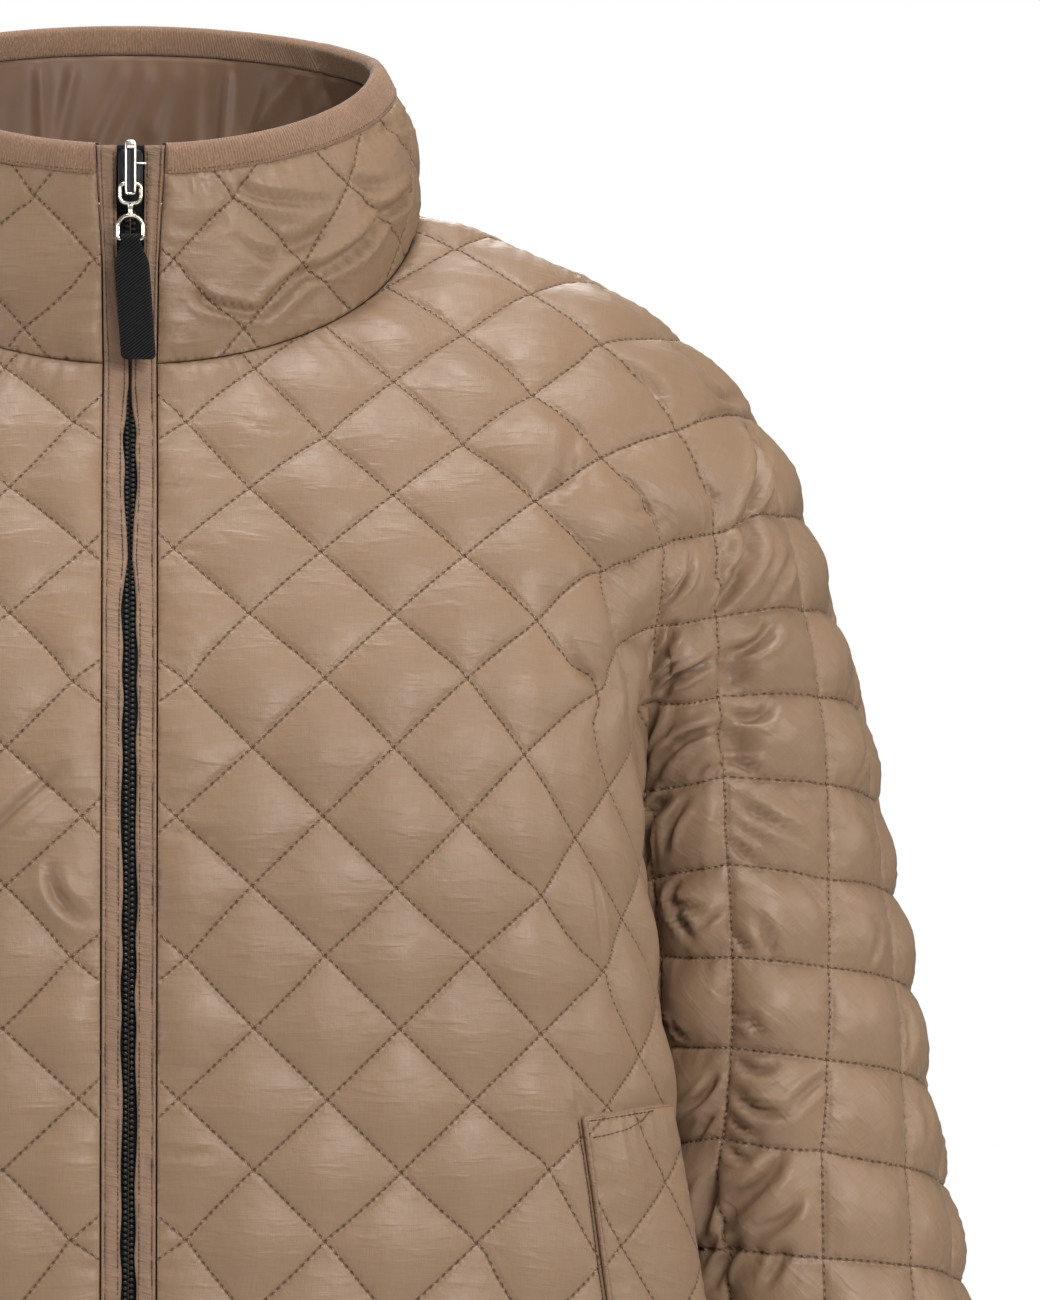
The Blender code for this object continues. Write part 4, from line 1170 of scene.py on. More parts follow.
# %% Cut the panels
FRONT_SQUARES, BACK_SQUARES, COLLAR_SQUARES, WELT_SQUARES = 19, 14, 20, 18
WELT_CROSSING = (617, 1246)      # where two of the welt's rows cross in the picture
COLLAR_CREASES = (
    (408, 188, 400, 200, 378, 217, 2.0, 2.4), (384, 211, 358, 245, 316, 273, 2.0, 3.4),
    (318, 272, 293, 282, 264, 311, 2.4, 3.0), (195, 295, 222, 307, 261, 313, 2.0, 2.6),
    (242, 176, 262, 197, 328, 203, 2.0, 1.6), (274, 249, 302, 243, 330, 226, 2.4, 1.2),
    (261, 251, 272, 254, 284, 257, 1.4, 1.2), (372, 122, 378, 132, 380, 142, 1.2, 1.0),
    (384, 112, 388, 124, 390, 138, 1.2, 1.0), (183, 176, 187, 182, 190, 190, 1.2, .8),
    (196, 176, 200, 184, 204, 190, 1.2, .8), (236, 240, 262, 256, 280, 262, 1.8, 1.2),
    (196, 226, 214, 222, 226, 214, 2.4, 0.6), (172, 228, 186, 230, 204, 226, 1.8, 0.4),
    (352, 176, 366, 186, 386, 184, 2.2, 1.0), (236, 322, 254, 312, 268, 314, 1.6, 0.9),
)

front_cut = Cut(front_net, whole_edge(front_net, False))
left = Panel("quilted_front_left", front_cut, Relief(11, creases=front_creases),
             FRONT_SQUARES, ease=under_welt)
right_creases = (more_creases(front_net, 5, 42, (5, 9.5), (7, 20))
                 + more_creases(front_net, 6, 10, (0.2, 3.5), (5, 20)))
right = Panel("quilted_front_right", front_cut, Relief(12, creases=right_creases),
              FRONT_SQUARES, mirror=True, ease=under_welt)

back_cut = Cut(back_net, whole_edge(back_net, True), 0.0)
back_creases = (more_creases(back_net, 7, 34, (5, 9.5), (7, 20))
                + more_creases(back_net, 8, 34, (5, 9.5), (7, 20), side=-1))
back = Panel("quilted_back", back_cut, Relief(23, creases=back_creases), BACK_SQUARES)

rows = edge_rows(collar_net, [(collar_net.grid[0], False), (collar_net.grid[:, -1], False),
                              (collar_net.grid[-1, ::-1], False)], COLLAR_CENTRE)
collar_cut = Cut(collar_net, rows, COLLAR_CENTRE)
collar_creases = creases_at(collar_net, COLLAR_CREASES, COLLAR_DEEPEN)
collar = Panel("quilted_collar", collar_cut,
               Relief(37, firm=2.2 * MM, creases=collar_creases), COLLAR_SQUARES, inner_pillow=0)

crossing = blended(front_net.flat, *front_net.seen_at([WELT_CROSSING]))[0]
welt_cut = Cut(front_net, window_edge(front_net, WELT_CORNERS),
               shift=np.round(crossing) - crossing)
welts = [Panel("quilted_welt_" + side, welt_cut, Relief(seed, firm=1.7 * MM, full=2.0 * MM),
               WELT_SQUARES, mirror=side == "right", face=WELT_FACE, wall=WELT_WALL,
               inner_pillow=0) for side, seed in (("left", 51), ("right", 52))]

# %% [markdown]
# ## Lofting strips
# A long strip with one cross-section is lofted: a closed row of points for every step of its
# path, and faces between the rows. A curve with a bevel could do that too, but rows of points
# can also carry ribs and gathers. A tube's rings are joined in the same way.

# %% Lofting
def loft(name, rings, closed=False):
    """A mesh through rings of points: an array of rings, points in a ring, and x, y, z."""
    rings = np.asarray(rings)
    count, around = rings.shape[:2]
    mesh = bmesh.new()
    verts = [mesh.verts.new(p) for p in rings.reshape(-1, 3)]
    for i in range(count if closed else count - 1):
        for j in range(around):
            a, b = i * around, (i + 1) % count * around
            mesh.faces.new([verts[k] for k in (a + j, a + (j + 1) % around,
                                               b + (j + 1) % around, b + j)])
    if not closed:
        mesh.faces.new(verts[:around])
        mesh.faces.new(verts[-around:])
    return mesh_object(name, mesh)


def mesh_object(name, mesh):
    """An object from a bmesh, with its faces turned outwards and smooth."""
    bmesh.ops.recalc_face_normals(mesh, faces=mesh.faces)
    data = bpy.data.meshes.new(name)
    mesh.to_mesh(data)
    mesh.free()
    data.polygons.foreach_set("use_smooth", [True] * len(data.polygons))
    return add_object(name, data)


def collar_space(place, around):
    """As the collar's net has it. Around is 0 at centre back, 20 at the left's centre front,
    and less than 0 on the right half."""
    points, way_out = collar_net.space(place, np.abs(around), None)
    turn = np.stack([np.where(around < 0, -1, 1)] + [np.ones(len(around))] * 2, axis=1)
    return points * turn, way_out * turn


def even_steps(place, count):
    """Values of around, so many, evenly spaced along one ring of the collar."""
    around = np.linspace(2 * OVERARM, -2 * OVERARM, 1601)
    points = collar_space(np.full(1601, place), around)[0]
    run = run_along(points)
    return np.interp(np.linspace(0, run[-1], count), run, around), run[-1]


# %% [markdown]
# ## The binding
# It is a ribbed elastic band, folded over the collar's top edge. Every rib gets five rows of the
# loft, and the band rounds off where it meets the zip.

# %% The binding
RIB, RIB_DEPTH = 1.15 * MM, 0.16 * MM
RIB_COLUMNS = 5                  # columns for each rib
# Down the band's cross-section: place, then how far outside the collar's face, in mm.
BINDING_SECTION = (
    (1.02, 0.10), (1.00, 0.55), (0.90, 0.85), (0.62, 1.0), (0.34, 1.0), (0.13, 0.8), (0.02, 0.1),
    (-0.03, -1.0), (-0.035, -2.2), (-0.02, -3.5), (0.05, -4.5), (0.20, -4.8), (0.60, -4.8),
    (0.92, -4.6), (1.00, -4.2), (1.01, -2.0),
)

length = even_steps(0.5, 3)[1]
steps = round(length / RIB) * RIB_COLUMNS
around, _ = even_steps(0.5, steps + 1)
run = np.linspace(0, length, steps + 1)
end = np.minimum(run, length - run)
wave = np.cos(2 * math.pi * run / RIB) * RIB_DEPTH
sway = (0.25 * MM * np.sin(2 * math.pi * run / 0.031)
        + 0.2 * MM * np.sin(2 * math.pi * run / 0.019))
round_end = np.sqrt(1 - (1 - np.clip(end / (2.2 * MM), 0, 1)) ** 2 * 0.96)
rings = []
for place, out in BINDING_SECTION:
    base = np.full(steps + 1, max(place, 0))
    points, way_out = collar_space(base, around)
    over = np.array((0, 0, 1.0)) * max(-place, 0) * 28 * MM
    size = 1 + wave / (2.6 * MM)
    offset = (-1.9 * MM + (out + 1.9) * MM * round_end) + np.sign(out + 1.9) * wave + sway * 0.5
    rings.append(points + way_out * offset[:, None] + over * size[:, None])
binding = loft("collar_binding_band", np.array(rings).transpose(1, 0, 2))
print(f"binding: {length * 1000:.0f} mm long, {triangle_count(binding)} triangles")

# %% [markdown]
# ## The lining
# Inside the back of the neck a satin lining shows, softly gathered. The folds that the picture
# shows are laid one by one, and a few long waves fill in between them.

# %% The lining
LINING_FACE, LINING_WALL = 3.4 * MM, 0.9 * MM
LINING_COLUMNS, LINING_ROWS = 560, 22
# Folds that show inside the back of the neck: pixels of the picture, then width and rise in mm.
LINING_FOLDS = (
    ((146, 54), (104, 144), 3.0, 1.5), ((174, 56), (152, 112), 4.0, 1.3),
    ((232, 54), (224, 142), 2.2, 1.6), ((306, 54), (238, 138), 3.6, 2.4),
    ((262, 60), (250, 120), 3.0, -1.5), ((341, 60), (316, 112), 3.0, 1.8),
    ((372, 72), (340, 98), 4.0, 1.5), ((200, 54), (196, 140), 3.0, 0.9),
    ((121, 54), (88, 120), 3.2, 1.2), ((70, 54), (52, 140), 3.0, 1.4), ((36, 54), (40, 140), 3.0, 1.4),
)
around, length = even_steps(2, LINING_COLUMNS)
run = np.linspace(0, length, LINING_COLUMNS)
random = np.random.default_rng(41)
waves = [(random.uniform(9, 26) * MM, random.uniform(0, 6.3), random.uniform(-3, 3))
         for _ in range(7)]
back_ratio = 1 + 0.08 / 3.0
outer, inner = [], []
for place in np.linspace(1.04, 3.98, LINING_ROWS):
    points, way_out = collar_space(np.full(LINING_COLUMNS, place), around)
    gather = sum(np.sin(2 * math.pi * run / wave + phase + lean * place / 3)
                 for wave, phase, lean in waves) / 5
    edge = min(place - 1.04, 3.98 - place) / 2.94
    gather = 0.5 * MM * (1 + gather) * min(1, edge * 6)
    for (x0, y0), (x1, y1), width, rise in LINING_FOLDS:
        a, b = [np.array(((x - NECK_PIXEL[0]), (NECK_PIXEL[1] - y))) * PIXEL * back_ratio
                for x, y in ((x0, y0), (x1, y1))]
        spot = points[:, ::2]
        t = np.clip((spot - a) @ (b - a) / ((b - a) @ (b - a)), 0, 1)
        off = np.linalg.norm(spot - a - t[:, None] * (b - a), axis=1) / (width * MM)
        gather += (points[:, 1] > 0.03) * rise * MM * np.exp(-off * off)
    outer.append(points - way_out * LINING_FACE)
    inner.append(points - way_out * (LINING_FACE + LINING_WALL + np.maximum(gather, 0))[:, None])
lining = loft("collar_lining_satin", np.array(outer + inner[::-1]).transpose(1, 0, 2))
print(f"lining: {length * 1000:.0f} mm along its middle, {triangle_count(lining)} triangles")

# %% [markdown]
# ## Down the centre front
# Strips, tapes and teeth all run down the middle of the front. That line is measured once, with
# the way out of the cloth and the distance to the strip's seam at every step.

# %% The line down the front
SEAM_BESIDE = 0.3 * MM           # from a panel's edge to the strip's
PLACKET_GAPS = (
    (0.020, 0.0050), (-0.020, 0.0050), (-0.045, 0.0035), (-0.060, 0.0006), (-0.072, 0.0004),
    (-0.090, 0.0022), (-0.110, 0.0022), (-0.137, 0.0009), (-0.155, 0.0026), (-0.640, 0.0025),
)


def front_line(step):
    """Down the front at so many metres a step: the run, points (y, z), the directions out,
    and how far from the middle the strip is seamed on."""
    places = np.concatenate([np.linspace(0, 4, 200), np.linspace(4, 16, 500)[1:],
                             np.linspace(16, 21, 300)[1:]])
    line = []
    for low, high, collar, body in ((0, 200, True, False), (200, 699, False, False),
                                    (699, 998, False, True)):
        some = places[low:high]
        line.append(surface(some, np.zeros(len(some)), False, body=body, collar=collar))
    line = np.vstack(line)[:, 1:]
    run = run_along(line)
    at = np.linspace(0, run[-1], round(run[-1] / step) + 1)
    seam = np.interp(np.interp(at, run, places), *PANEL_EDGES) * MM - SEAM_BESIDE
    line = np.stack([np.interp(at, run, line[:, k]) for k in (0, 1)], axis=1)
    ahead = unit(np.gradient(line, axis=0))
    for _ in range(3):
        ahead[1:-1] = (ahead[:-2] + ahead[1:-1] * 2 + ahead[2:]) / 4
    return at, line, np.stack([ahead[:, 1], -ahead[:, 0]], axis=1), seam


def front_strip(name, side, sections):
    """A strip from rows of (x, out) for every step of the line, in metres."""
    rings = []
    for (y, z), out, section in zip(line_points, line_out, sections):
        rings.append([(side * x, y + off * out[0], z + off * out[1]) for x, off in section])
    return loft(name, rings)


run_down, line_points, line_out, line_seam = front_line(1.6 * MM)
print(f"front line {run_down[-1] * 1000:.0f} mm long, {len(run_down)} steps")

# %% [markdown]
# ## Strips and tapes
# A folded strip lies beside the zip on each side. It is stitched near both edges, and the seam
# that joins it to the front pulls small wrinkles across both. Behind the gap between the two
# strips are the woven zip tapes. All four are lofted, and each wrinkle is a wave in their rows.

# %% Strips and tapes
# Across a strip: share of the way from its inner edge to the seam, then the height in mm.
STRIP_FACE = (
    (0.00, -1.15), (0.01, -0.55), (0.04, -0.12), (0.09, 0.05), (0.15, 0.10), (0.24, 0.08),
    (0.36, 0.12), (0.48, 0.16), (0.60, 0.15), (0.70, 0.08), (0.77, -0.10), (0.80, -0.30),
    (0.83, -0.05), (0.88, 0.28), (0.93, 0.30), (0.97, 0.00), (1.00, -0.60), (1.00, -1.4),
)
STRIP_BACK = ((0.98, -1.9), (0.5, -1.9), (0.02, -1.9), (0.00, -1.5))
PLEATS = ((0.0, 0.052, 0.40, 0.7), (0.01, 0.056, 0.62, -0.5))   # start, end, share, mm


def strip_sections(side):
    random = np.random.default_rng(61 + side)
    phases = random.uniform(0, 6.3, 8)
    sections = []
    gaps = np.interp(line_points[:, 1], *[column[::-1] for column in zip(*PLACKET_GAPS)])
    for run, gap, seam in zip(run_down, gaps, line_seam):
        there = smooth_step(0.075, 0.11, run)
        gap += (0.30 * math.sin(run / 0.0047 + phases[0] + 1.6 * math.sin(run / 0.017))
                + 0.24 * math.sin(run / 0.0124 + phases[6])) * MM * there
        across, face = np.array(STRIP_FACE).T
        height = face.copy()
        near_seam = np.exp(-((0.8 - across) / 0.42) ** 2)
        near_edge = np.exp(-(across / 0.34) ** 2)
        slant = 5.0 * across
        ripple = (np.sin(run / 0.00105 + 2 * math.sin(run / 0.0093) + phases[1] + slant)
                  + 0.9 * np.sin(run / 0.00175 + phases[2] + 1.7 * math.sin(run / 0.0147) - slant))
        calm = 0.55 + 0.45 * math.sin(run / 0.0073 + phases[5])
        inner = (across > 0.005) & (across < 0.995)
        height += 0.20 * calm * ripple * near_seam * inner * (0.35 + 0.65 * there)
        height += 0.17 * np.sin(run / 0.0013 + phases[3] + slant) * near_edge * inner * there
        height += 0.22 * math.sin(run / 0.0051 + phases[4]) * np.sin(math.pi * across) * there
        for start, end, share, size in PLEATS:
            fade = smooth_step(start, start + 0.01, run) * (1 - smooth_step(end, end + 0.01, run))
            height += size * fade * np.exp(-((across - share) / 0.07) ** 2)
        width = seam - gap
        section = [(gap + width * a, h * MM) for a, h in zip(across, height)]
        sections.append(section + [(gap + width * a, h * MM) for a, h in STRIP_BACK])
    return sections


TAPE = ((0.15, -2.35), (0.3, -2.3), (10.2, -2.3), (10.5, -2.5), (10.5, -3.2), (0.15, -3.2))
strips, tapes = [], []
for side, name in ((1, "left"), (-1, "right")):
    strips.append(front_strip("placket_strip_" + name, side, strip_sections(side)))
    section = [(x * MM, off * MM) for x, off in TAPE]
    tapes.append(front_strip("zip_tape_weave_" + name, side, [section] * len(run_down)))
print("strip", triangle_count(strips[0]), "triangles, tape", triangle_count(tapes[0]))

# %% [markdown]
# ## The zip's small parts
# They are bars, wires, plates and webbing. Bars, wires and webbing are lofted too, and plates
# are raised from an outline, with their rims bevelled. The sizes are the ones that the solid
# parts have, so the pull swings clear.

# %% Sizes of the small parts
PULL_Y, PIVOT_Z = -95.8 * MM, 2.0 * MM
WIRE = 0.75 * MM
LINK_HALF, LINK_DROP, LINK_CORNERS = 3.8 * MM, 7.0 * MM, (1.4 * MM, 2.4 * MM)
RING_TOP_Z, RING_BAR_Z = -9.6 * MM, -18.3 * MM
RING_HALF, RING_CORNERS = 4.6 * MM, (4.2 * MM, 1.2 * MM)
STRAP_FOOT_Z, STRAP_THICK = -62.6 * MM, 1.05 * MM
STRAP_HALF, STRAP_NECK_HALF, STRAP_LEAN = 6.4 * MM, 3.6 * MM, 0.07


def joined_mesh(name, pieces):
    """One object from several that are finished in the same way."""
    mesh = bmesh.new()
    for piece in pieces:
        mesh.from_mesh(piece.data)
        bpy.data.objects.remove(piece)
    return mesh_object(name, mesh)


def rounded_loop(half, top, foot, top_corner, foot_corner, arc_steps=9):
    """Points (x, z) round a rectangle with round corners, clockwise from the top left."""
    loop = []
    for x, z, corner, first in ((-half, top, top_corner, 180), (half, top, top_corner, 90),
                                (half, foot, foot_corner, 0), (-half, foot, foot_corner, -90)):
        centre = x - math.copysign(corner, x), z + (corner if z == foot else -corner)
        for k in range(arc_steps):
            t = math.radians(first - 90 * k / (arc_steps - 1))
            loop.append((centre[0] + corner * math.cos(t), centre[1] + corner * math.sin(t)))
    return np.array(loop)


def wire_ring(name, loop, y, radius, sides=14):
    """Round wire along a closed loop of (x, z)."""
    ahead = unit(np.roll(loop, -1, 0) - np.roll(loop, 1, 0))
    rings = []
    for (x, z), (ax, az) in zip(loop, ahead):
        turn_by = 2 * math.pi * np.arange(sides) / sides
        rings.append([(x - az * radius * math.cos(t), y + radius * math.sin(t),
                       z + ax * radius * math.cos(t)) for t in turn_by])
    return loft(name, rings, closed=True)


def solid_outline(name, outline, front, depth, bevel, segments=3):
    """A plate with an outline in (x, z), from y = front backwards, with rounded rims."""
    mesh = bmesh.new()
    face = mesh.faces.new([mesh.verts.new((x, front, z)) for x, z in outline])
    moved = bmesh.ops.extrude_face_region(mesh, geom=[face])["geom"]
    bmesh.ops.translate(mesh, vec=(0, depth, 0),
                        verts=[v for v in moved if isinstance(v, bmesh.types.BMVert)])
    rims = [e for e in mesh.edges if abs(e.verts[0].co.y - e.verts[1].co.y) < 1e-9]
    bmesh.ops.bevel(mesh, geom=rims, offset=bevel, segments=segments, affect="EDGES")
    return mesh_object(name, mesh)


# %% [markdown]
# ## The slider
# It is a plated casting: two plates round the teeth, and in front a rail with a groove, in which
# the pull's link runs. The rail's section changes along it, so it is lofted from its foot up.

# %% The slider
# Up the rail: z, half width, depth of the groove, then how far the back is from the front.
RAIL_FRONT = -98.5 * MM
RAIL_SECTIONS = (
    (-2.1, 1.2, 0.0, 3.0), (-1.95, 1.65, 0.0, 4.0), (-1.6, 1.9, 0.0, 4.0), (-1.4, 1.95, 0.9, 4.0),
    (0.3, 2.1, 0.95, 4.0), (0.45, 2.1, 0.95, 1.3), (1.2, 2.1, 0.95, 1.3), (8.0, 2.1, 0.95, 1.3),
    (14.4, 2.1, 0.95, 1.3), (15.1, 2.1, 0.9, 1.3), (15.25, 2.1, 0.0, 4.0), (16.9, 2.05, 0.0, 4.0),
    (17.6, 1.8, 0.0, 3.9), (17.9, 1.3, 0.0, 3.4),
)
rings = []
for z, half, groove, back_by in RAIL_SECTIONS:
    wall_in = half - 0.55
    back_y = RAIL_FRONT + back_by * MM
    profile = [(-half, 0.35), (-half + 0.18, 0.08), (-half + 0.4, 0.0), (-wall_in + 0.1, 0.04),
               (-wall_in + 0.22, groove), (0.0, groove), (wall_in - 0.22, groove),
               (wall_in - 0.1, 0.04), (half - 0.4, 0.0), (half - 0.18, 0.08), (half, 0.35)]
    ring = [(x * MM, min(RAIL_FRONT + y * MM, back_y - 0.2 * MM), z * MM) for x, y in profile]
    ring += [(half * MM, back_y, z * MM), (0, back_y, z * MM), (-half * MM, back_y, z * MM)]
    rings.append(ring)
rail = loft("rail", rings)
crown = rounded_loop(4.5 * MM, 15.0 * MM, -6.0 * MM, 2.2 * MM, 4.0 * MM)
plates = [solid_outline("plate", crown, y * MM, 1.7 * MM, 0.45 * MM) for y in (-94.5, -90.4)]
post = rounded_loop(1.6 * MM, 13.0 * MM, 7.0 * MM, 1.2 * MM, 1.4 * MM, 5)
plates.append(solid_outline("post", post, -93.2 * MM, 3.0 * MM, 0.2 * MM, 1))
pin = [[(x * MM, (-96.2 + 0.36 * math.cos(t)) * MM, (9.6 + 0.36 * math.sin(t)) * MM)
        for t in 2 * math.pi * np.arange(10) / 10] for x in (1.6, 2.2, 5.6, 5.9)]
slider = joined_mesh("slider_casting", [rail, *plates, loft("pin", pin)])
print("slider", triangle_count(slider), "triangles")

# %% [markdown]
# ## The pull
# Link, stem and D ring are one casting of round wire. Both loops are rectangles with round
# corners, and the stem between them is a short turned bar.

# %% The pull
link = wire_ring("link", rounded_loop(LINK_HALF, PIVOT_Z, PIVOT_Z - LINK_DROP, *LINK_CORNERS),
                 PULL_Y, WIRE)
ring = wire_ring("ring", rounded_loop(RING_HALF, RING_TOP_Z, RING_BAR_Z, *RING_CORNERS),
                 PULL_Y, WIRE)
stem_rings = []
for z, half in ((-5.2, 1.0), (-5.9, 1.25), (-6.6, 1.0), (-8.0, 0.85), (-9.2, 1.0), (-9.9, 1.2)):
    stem_rings.append([(half * math.cos(t) * MM, PULL_Y + 0.8 * half * math.sin(t) * MM, z * MM)
                       for t in 2 * math.pi * np.arange(14) / 14])
pull = joined_mesh("pull_casting", [link, ring, loft("stem", stem_rings)])
print("pull", triangle_count(pull), "triangles")

# %% [markdown]
# ## The strap
# It is woven webbing, folded round the ring's bar with both ends down. The loft follows the
# webbing up one side, round the bar and down the other, so its two layers are really there.

# %% The strap
LOOP_RADIUS = 1.6 * MM           # to the middle of the webbing
NECK_DROP, TAPER, FOOT_CORNER = 4 * MM, 10 * MM, 2.0 * MM
profile = [(-STRAP_THICK / 2 - 0.1 * MM, z) for z in
           np.append(STRAP_FOOT_Z + np.array((0, 0.15, 0.5, 1.0, 1.6, 2.2)) * MM,
                     np.linspace(STRAP_FOOT_Z + 3 * MM, RING_BAR_Z - NECK_DROP, 22))]
turns = np.radians(np.arange(-50, 231, 14))
loop = [(-LOOP_RADIUS * math.cos(t), RING_BAR_Z + LOOP_RADIUS * math.sin(t)) for t in turns]
profile = np.array(profile + loop + [(-y, z) for y, z in profile[::-1]])
ahead = unit(np.gradient(profile, axis=0))
rings = []
for (y, z), (ay, az) in zip(profile, ahead):
    drop = RING_BAR_Z - z
    share = smooth_step(0, TAPER, drop)
    half = STRAP_NECK_HALF + (STRAP_HALF - STRAP_NECK_HALF) * share
    foot = z - STRAP_FOOT_Z
    if foot < FOOT_CORNER:
        half -= FOOT_CORNER - math.sqrt(FOOT_CORNER**2 - (FOOT_CORNER - foot) ** 2)
    middle = STRAP_LEAN * max(drop, 0)
    thick = STRAP_THICK / 2 * (0.93 + 0.07 * math.cos(drop / (0.7 * MM)))
    ring = []
    for side in (1, -1):
        for x in np.linspace(1, -1, 9) * side:
            rim = 0.55 if abs(x) > 0.99 else 1.0
            ring.append((middle + half * x, PULL_Y + y - side * rim * thick * az,
                         z + side * rim * thick * ay))
    rings.append(ring)
strap = loft("strap_webbing", rings)
print("strap", triangle_count(strap), "triangles")

# %% [markdown]
# ## What repeats: stitches, teeth, topstitching
# Thousands of stitches could be modelled one by one, but Geometry Nodes do it from a list. Each
# list is a mesh of loose points. A point carries the direction of its row and the direction out
# of the cloth. The tree turns one small spindle of thread to those two directions, puts it on
# every point, varies its size a little and realizes them all. Zip teeth are made in the same
# way, from a small rounded block.

# %% A tree that repeats a small shape on points
def repeat_tree(name, material, sides, rings=0):
    """It repeats a spindle of so many sides and rings, or a block if it has no rings. Named
    inputs are Length, Width, Height and Spread, the share by which sizes vary."""
    tree = bpy.data.node_groups.new(name, "GeometryNodeTree")
    face = tree.interface
    face.new_socket("Geometry", in_out="INPUT", socket_type="NodeSocketGeometry")
    for label in ("Length", "Width", "Height", "Spread"):
        face.new_socket(label, in_out="INPUT", socket_type="NodeSocketFloat")
    face.new_socket("Geometry", in_out="OUTPUT", socket_type="NodeSocketGeometry")

    def node(kind, **values):
        made = tree.nodes.new(kind)
        for key, value in values.items():
            setattr(made, key, value)
        return made

    link = tree.links.new
    given, result = node("NodeGroupInput"), node("NodeGroupOutput")
    shape = node("GeometryNodeMesh" + ("UVSphere" if rings else "Cylinder"))
    if rings:
        set_inputs(shape, Radius=0.5, Segments=sides, Rings=rings)
    else:
        set_inputs(shape, Radius=0.5, Vertices=sides, Depth=1.0)
    size = node("ShaderNodeCombineXYZ")
    for axis, label in zip("XYZ", ("Length", "Width", "Height")):
        link(given.outputs[label], size.inputs[axis])
    sized = node("GeometryNodeTransform")
    link(shape.outputs["Mesh"], sized.inputs["Geometry"])
    link(size.outputs["Vector"], sized.inputs["Scale"])
    turn_to = node("FunctionNodeAxesToRotation", primary_axis="Z", secondary_axis="X")
    for label, socket in (("out", "Primary Axis"), ("ahead", "Secondary Axis")):
        stored = node("GeometryNodeInputNamedAttribute", data_type="FLOAT_VECTOR")
        stored.inputs["Name"].default_value = label
        link(stored.outputs["Attribute"], turn_to.inputs[socket])
    low, high = [node("ShaderNodeMath", operation=kind) for kind in ("SUBTRACT", "ADD")]
    vary = node("FunctionNodeRandomValue", data_type="FLOAT")
    for made, socket in ((low, 2), (high, 3)):
        made.inputs[0].default_value = 1.0
        link(given.outputs["Spread"], made.inputs[1])
        link(made.outputs[0], vary.inputs[socket])
    vary.inputs["Seed"].default_value = 7
    placed = node("GeometryNodeInstanceOnPoints")
    link(given.outputs["Geometry"], placed.inputs["Points"])
    link(sized.outputs["Geometry"], placed.inputs["Instance"])
    link(turn_to.outputs["Rotation"], placed.inputs["Rotation"])
    link(vary.outputs[1], placed.inputs["Scale"])
    real, smooth, finish = [node(kind) for kind in (
        "GeometryNodeRealizeInstances", "GeometryNodeSetShadeSmooth", "GeometryNodeSetMaterial")]
    finish.inputs["Material"].default_value = material
    link(placed.outputs["Instances"], real.inputs["Geometry"])
    link(real.outputs["Geometry"], smooth.inputs["Geometry"])
    link(smooth.outputs["Geometry"], finish.inputs["Geometry"])
    link(finish.outputs["Geometry"], result.inputs["Geometry"])
    return tree


def repeated(name, tree, points, ahead, way_out, sizes):
    """A plain mesh of the tree's shape on points. Sizes are its inputs' values, in order."""
    mesh = bpy.data.meshes.new(name)
    mesh.from_pydata(np.asarray(points).tolist(), [], [])
    for label, values in (("ahead", ahead), ("out", way_out)):
        stored = mesh.attributes.new(label, "FLOAT_VECTOR", "POINT")
        stored.data.foreach_set("vector", np.asarray(values, np.float32).ravel())
    points_object = add_object(name, mesh)
    modifier = points_object.modifiers.new("repeat", "NODES")
    modifier.node_group = tree
    inputs = [item for item in tree.interface.items_tree
              if item.in_out == "INPUT" and item.socket_type == "NodeSocketFloat"]
    for item, value in zip(inputs, sizes):
        modifier[item.identifier] = value
    evaluated = points_object.evaluated_get(bpy.context.evaluated_depsgraph_get())
    data = bpy.data.meshes.new_from_object(evaluated)
    points_object.modifiers.remove(modifier)
    bpy.data.objects.remove(points_object)
    obj = add_object(name, data)
    print(f"{name}: {len(points)} times, {triangle_count(obj)} triangles")
    return obj


# %% [markdown]
# ## Finishes
# Textures drawn in nodes are used throughout, since they need no picture. A panel's pattern
# reads its own map of the flat cloth, called quilt, so that it lies true on every fold. The
# patterns of strips and small parts read Object coordinates.

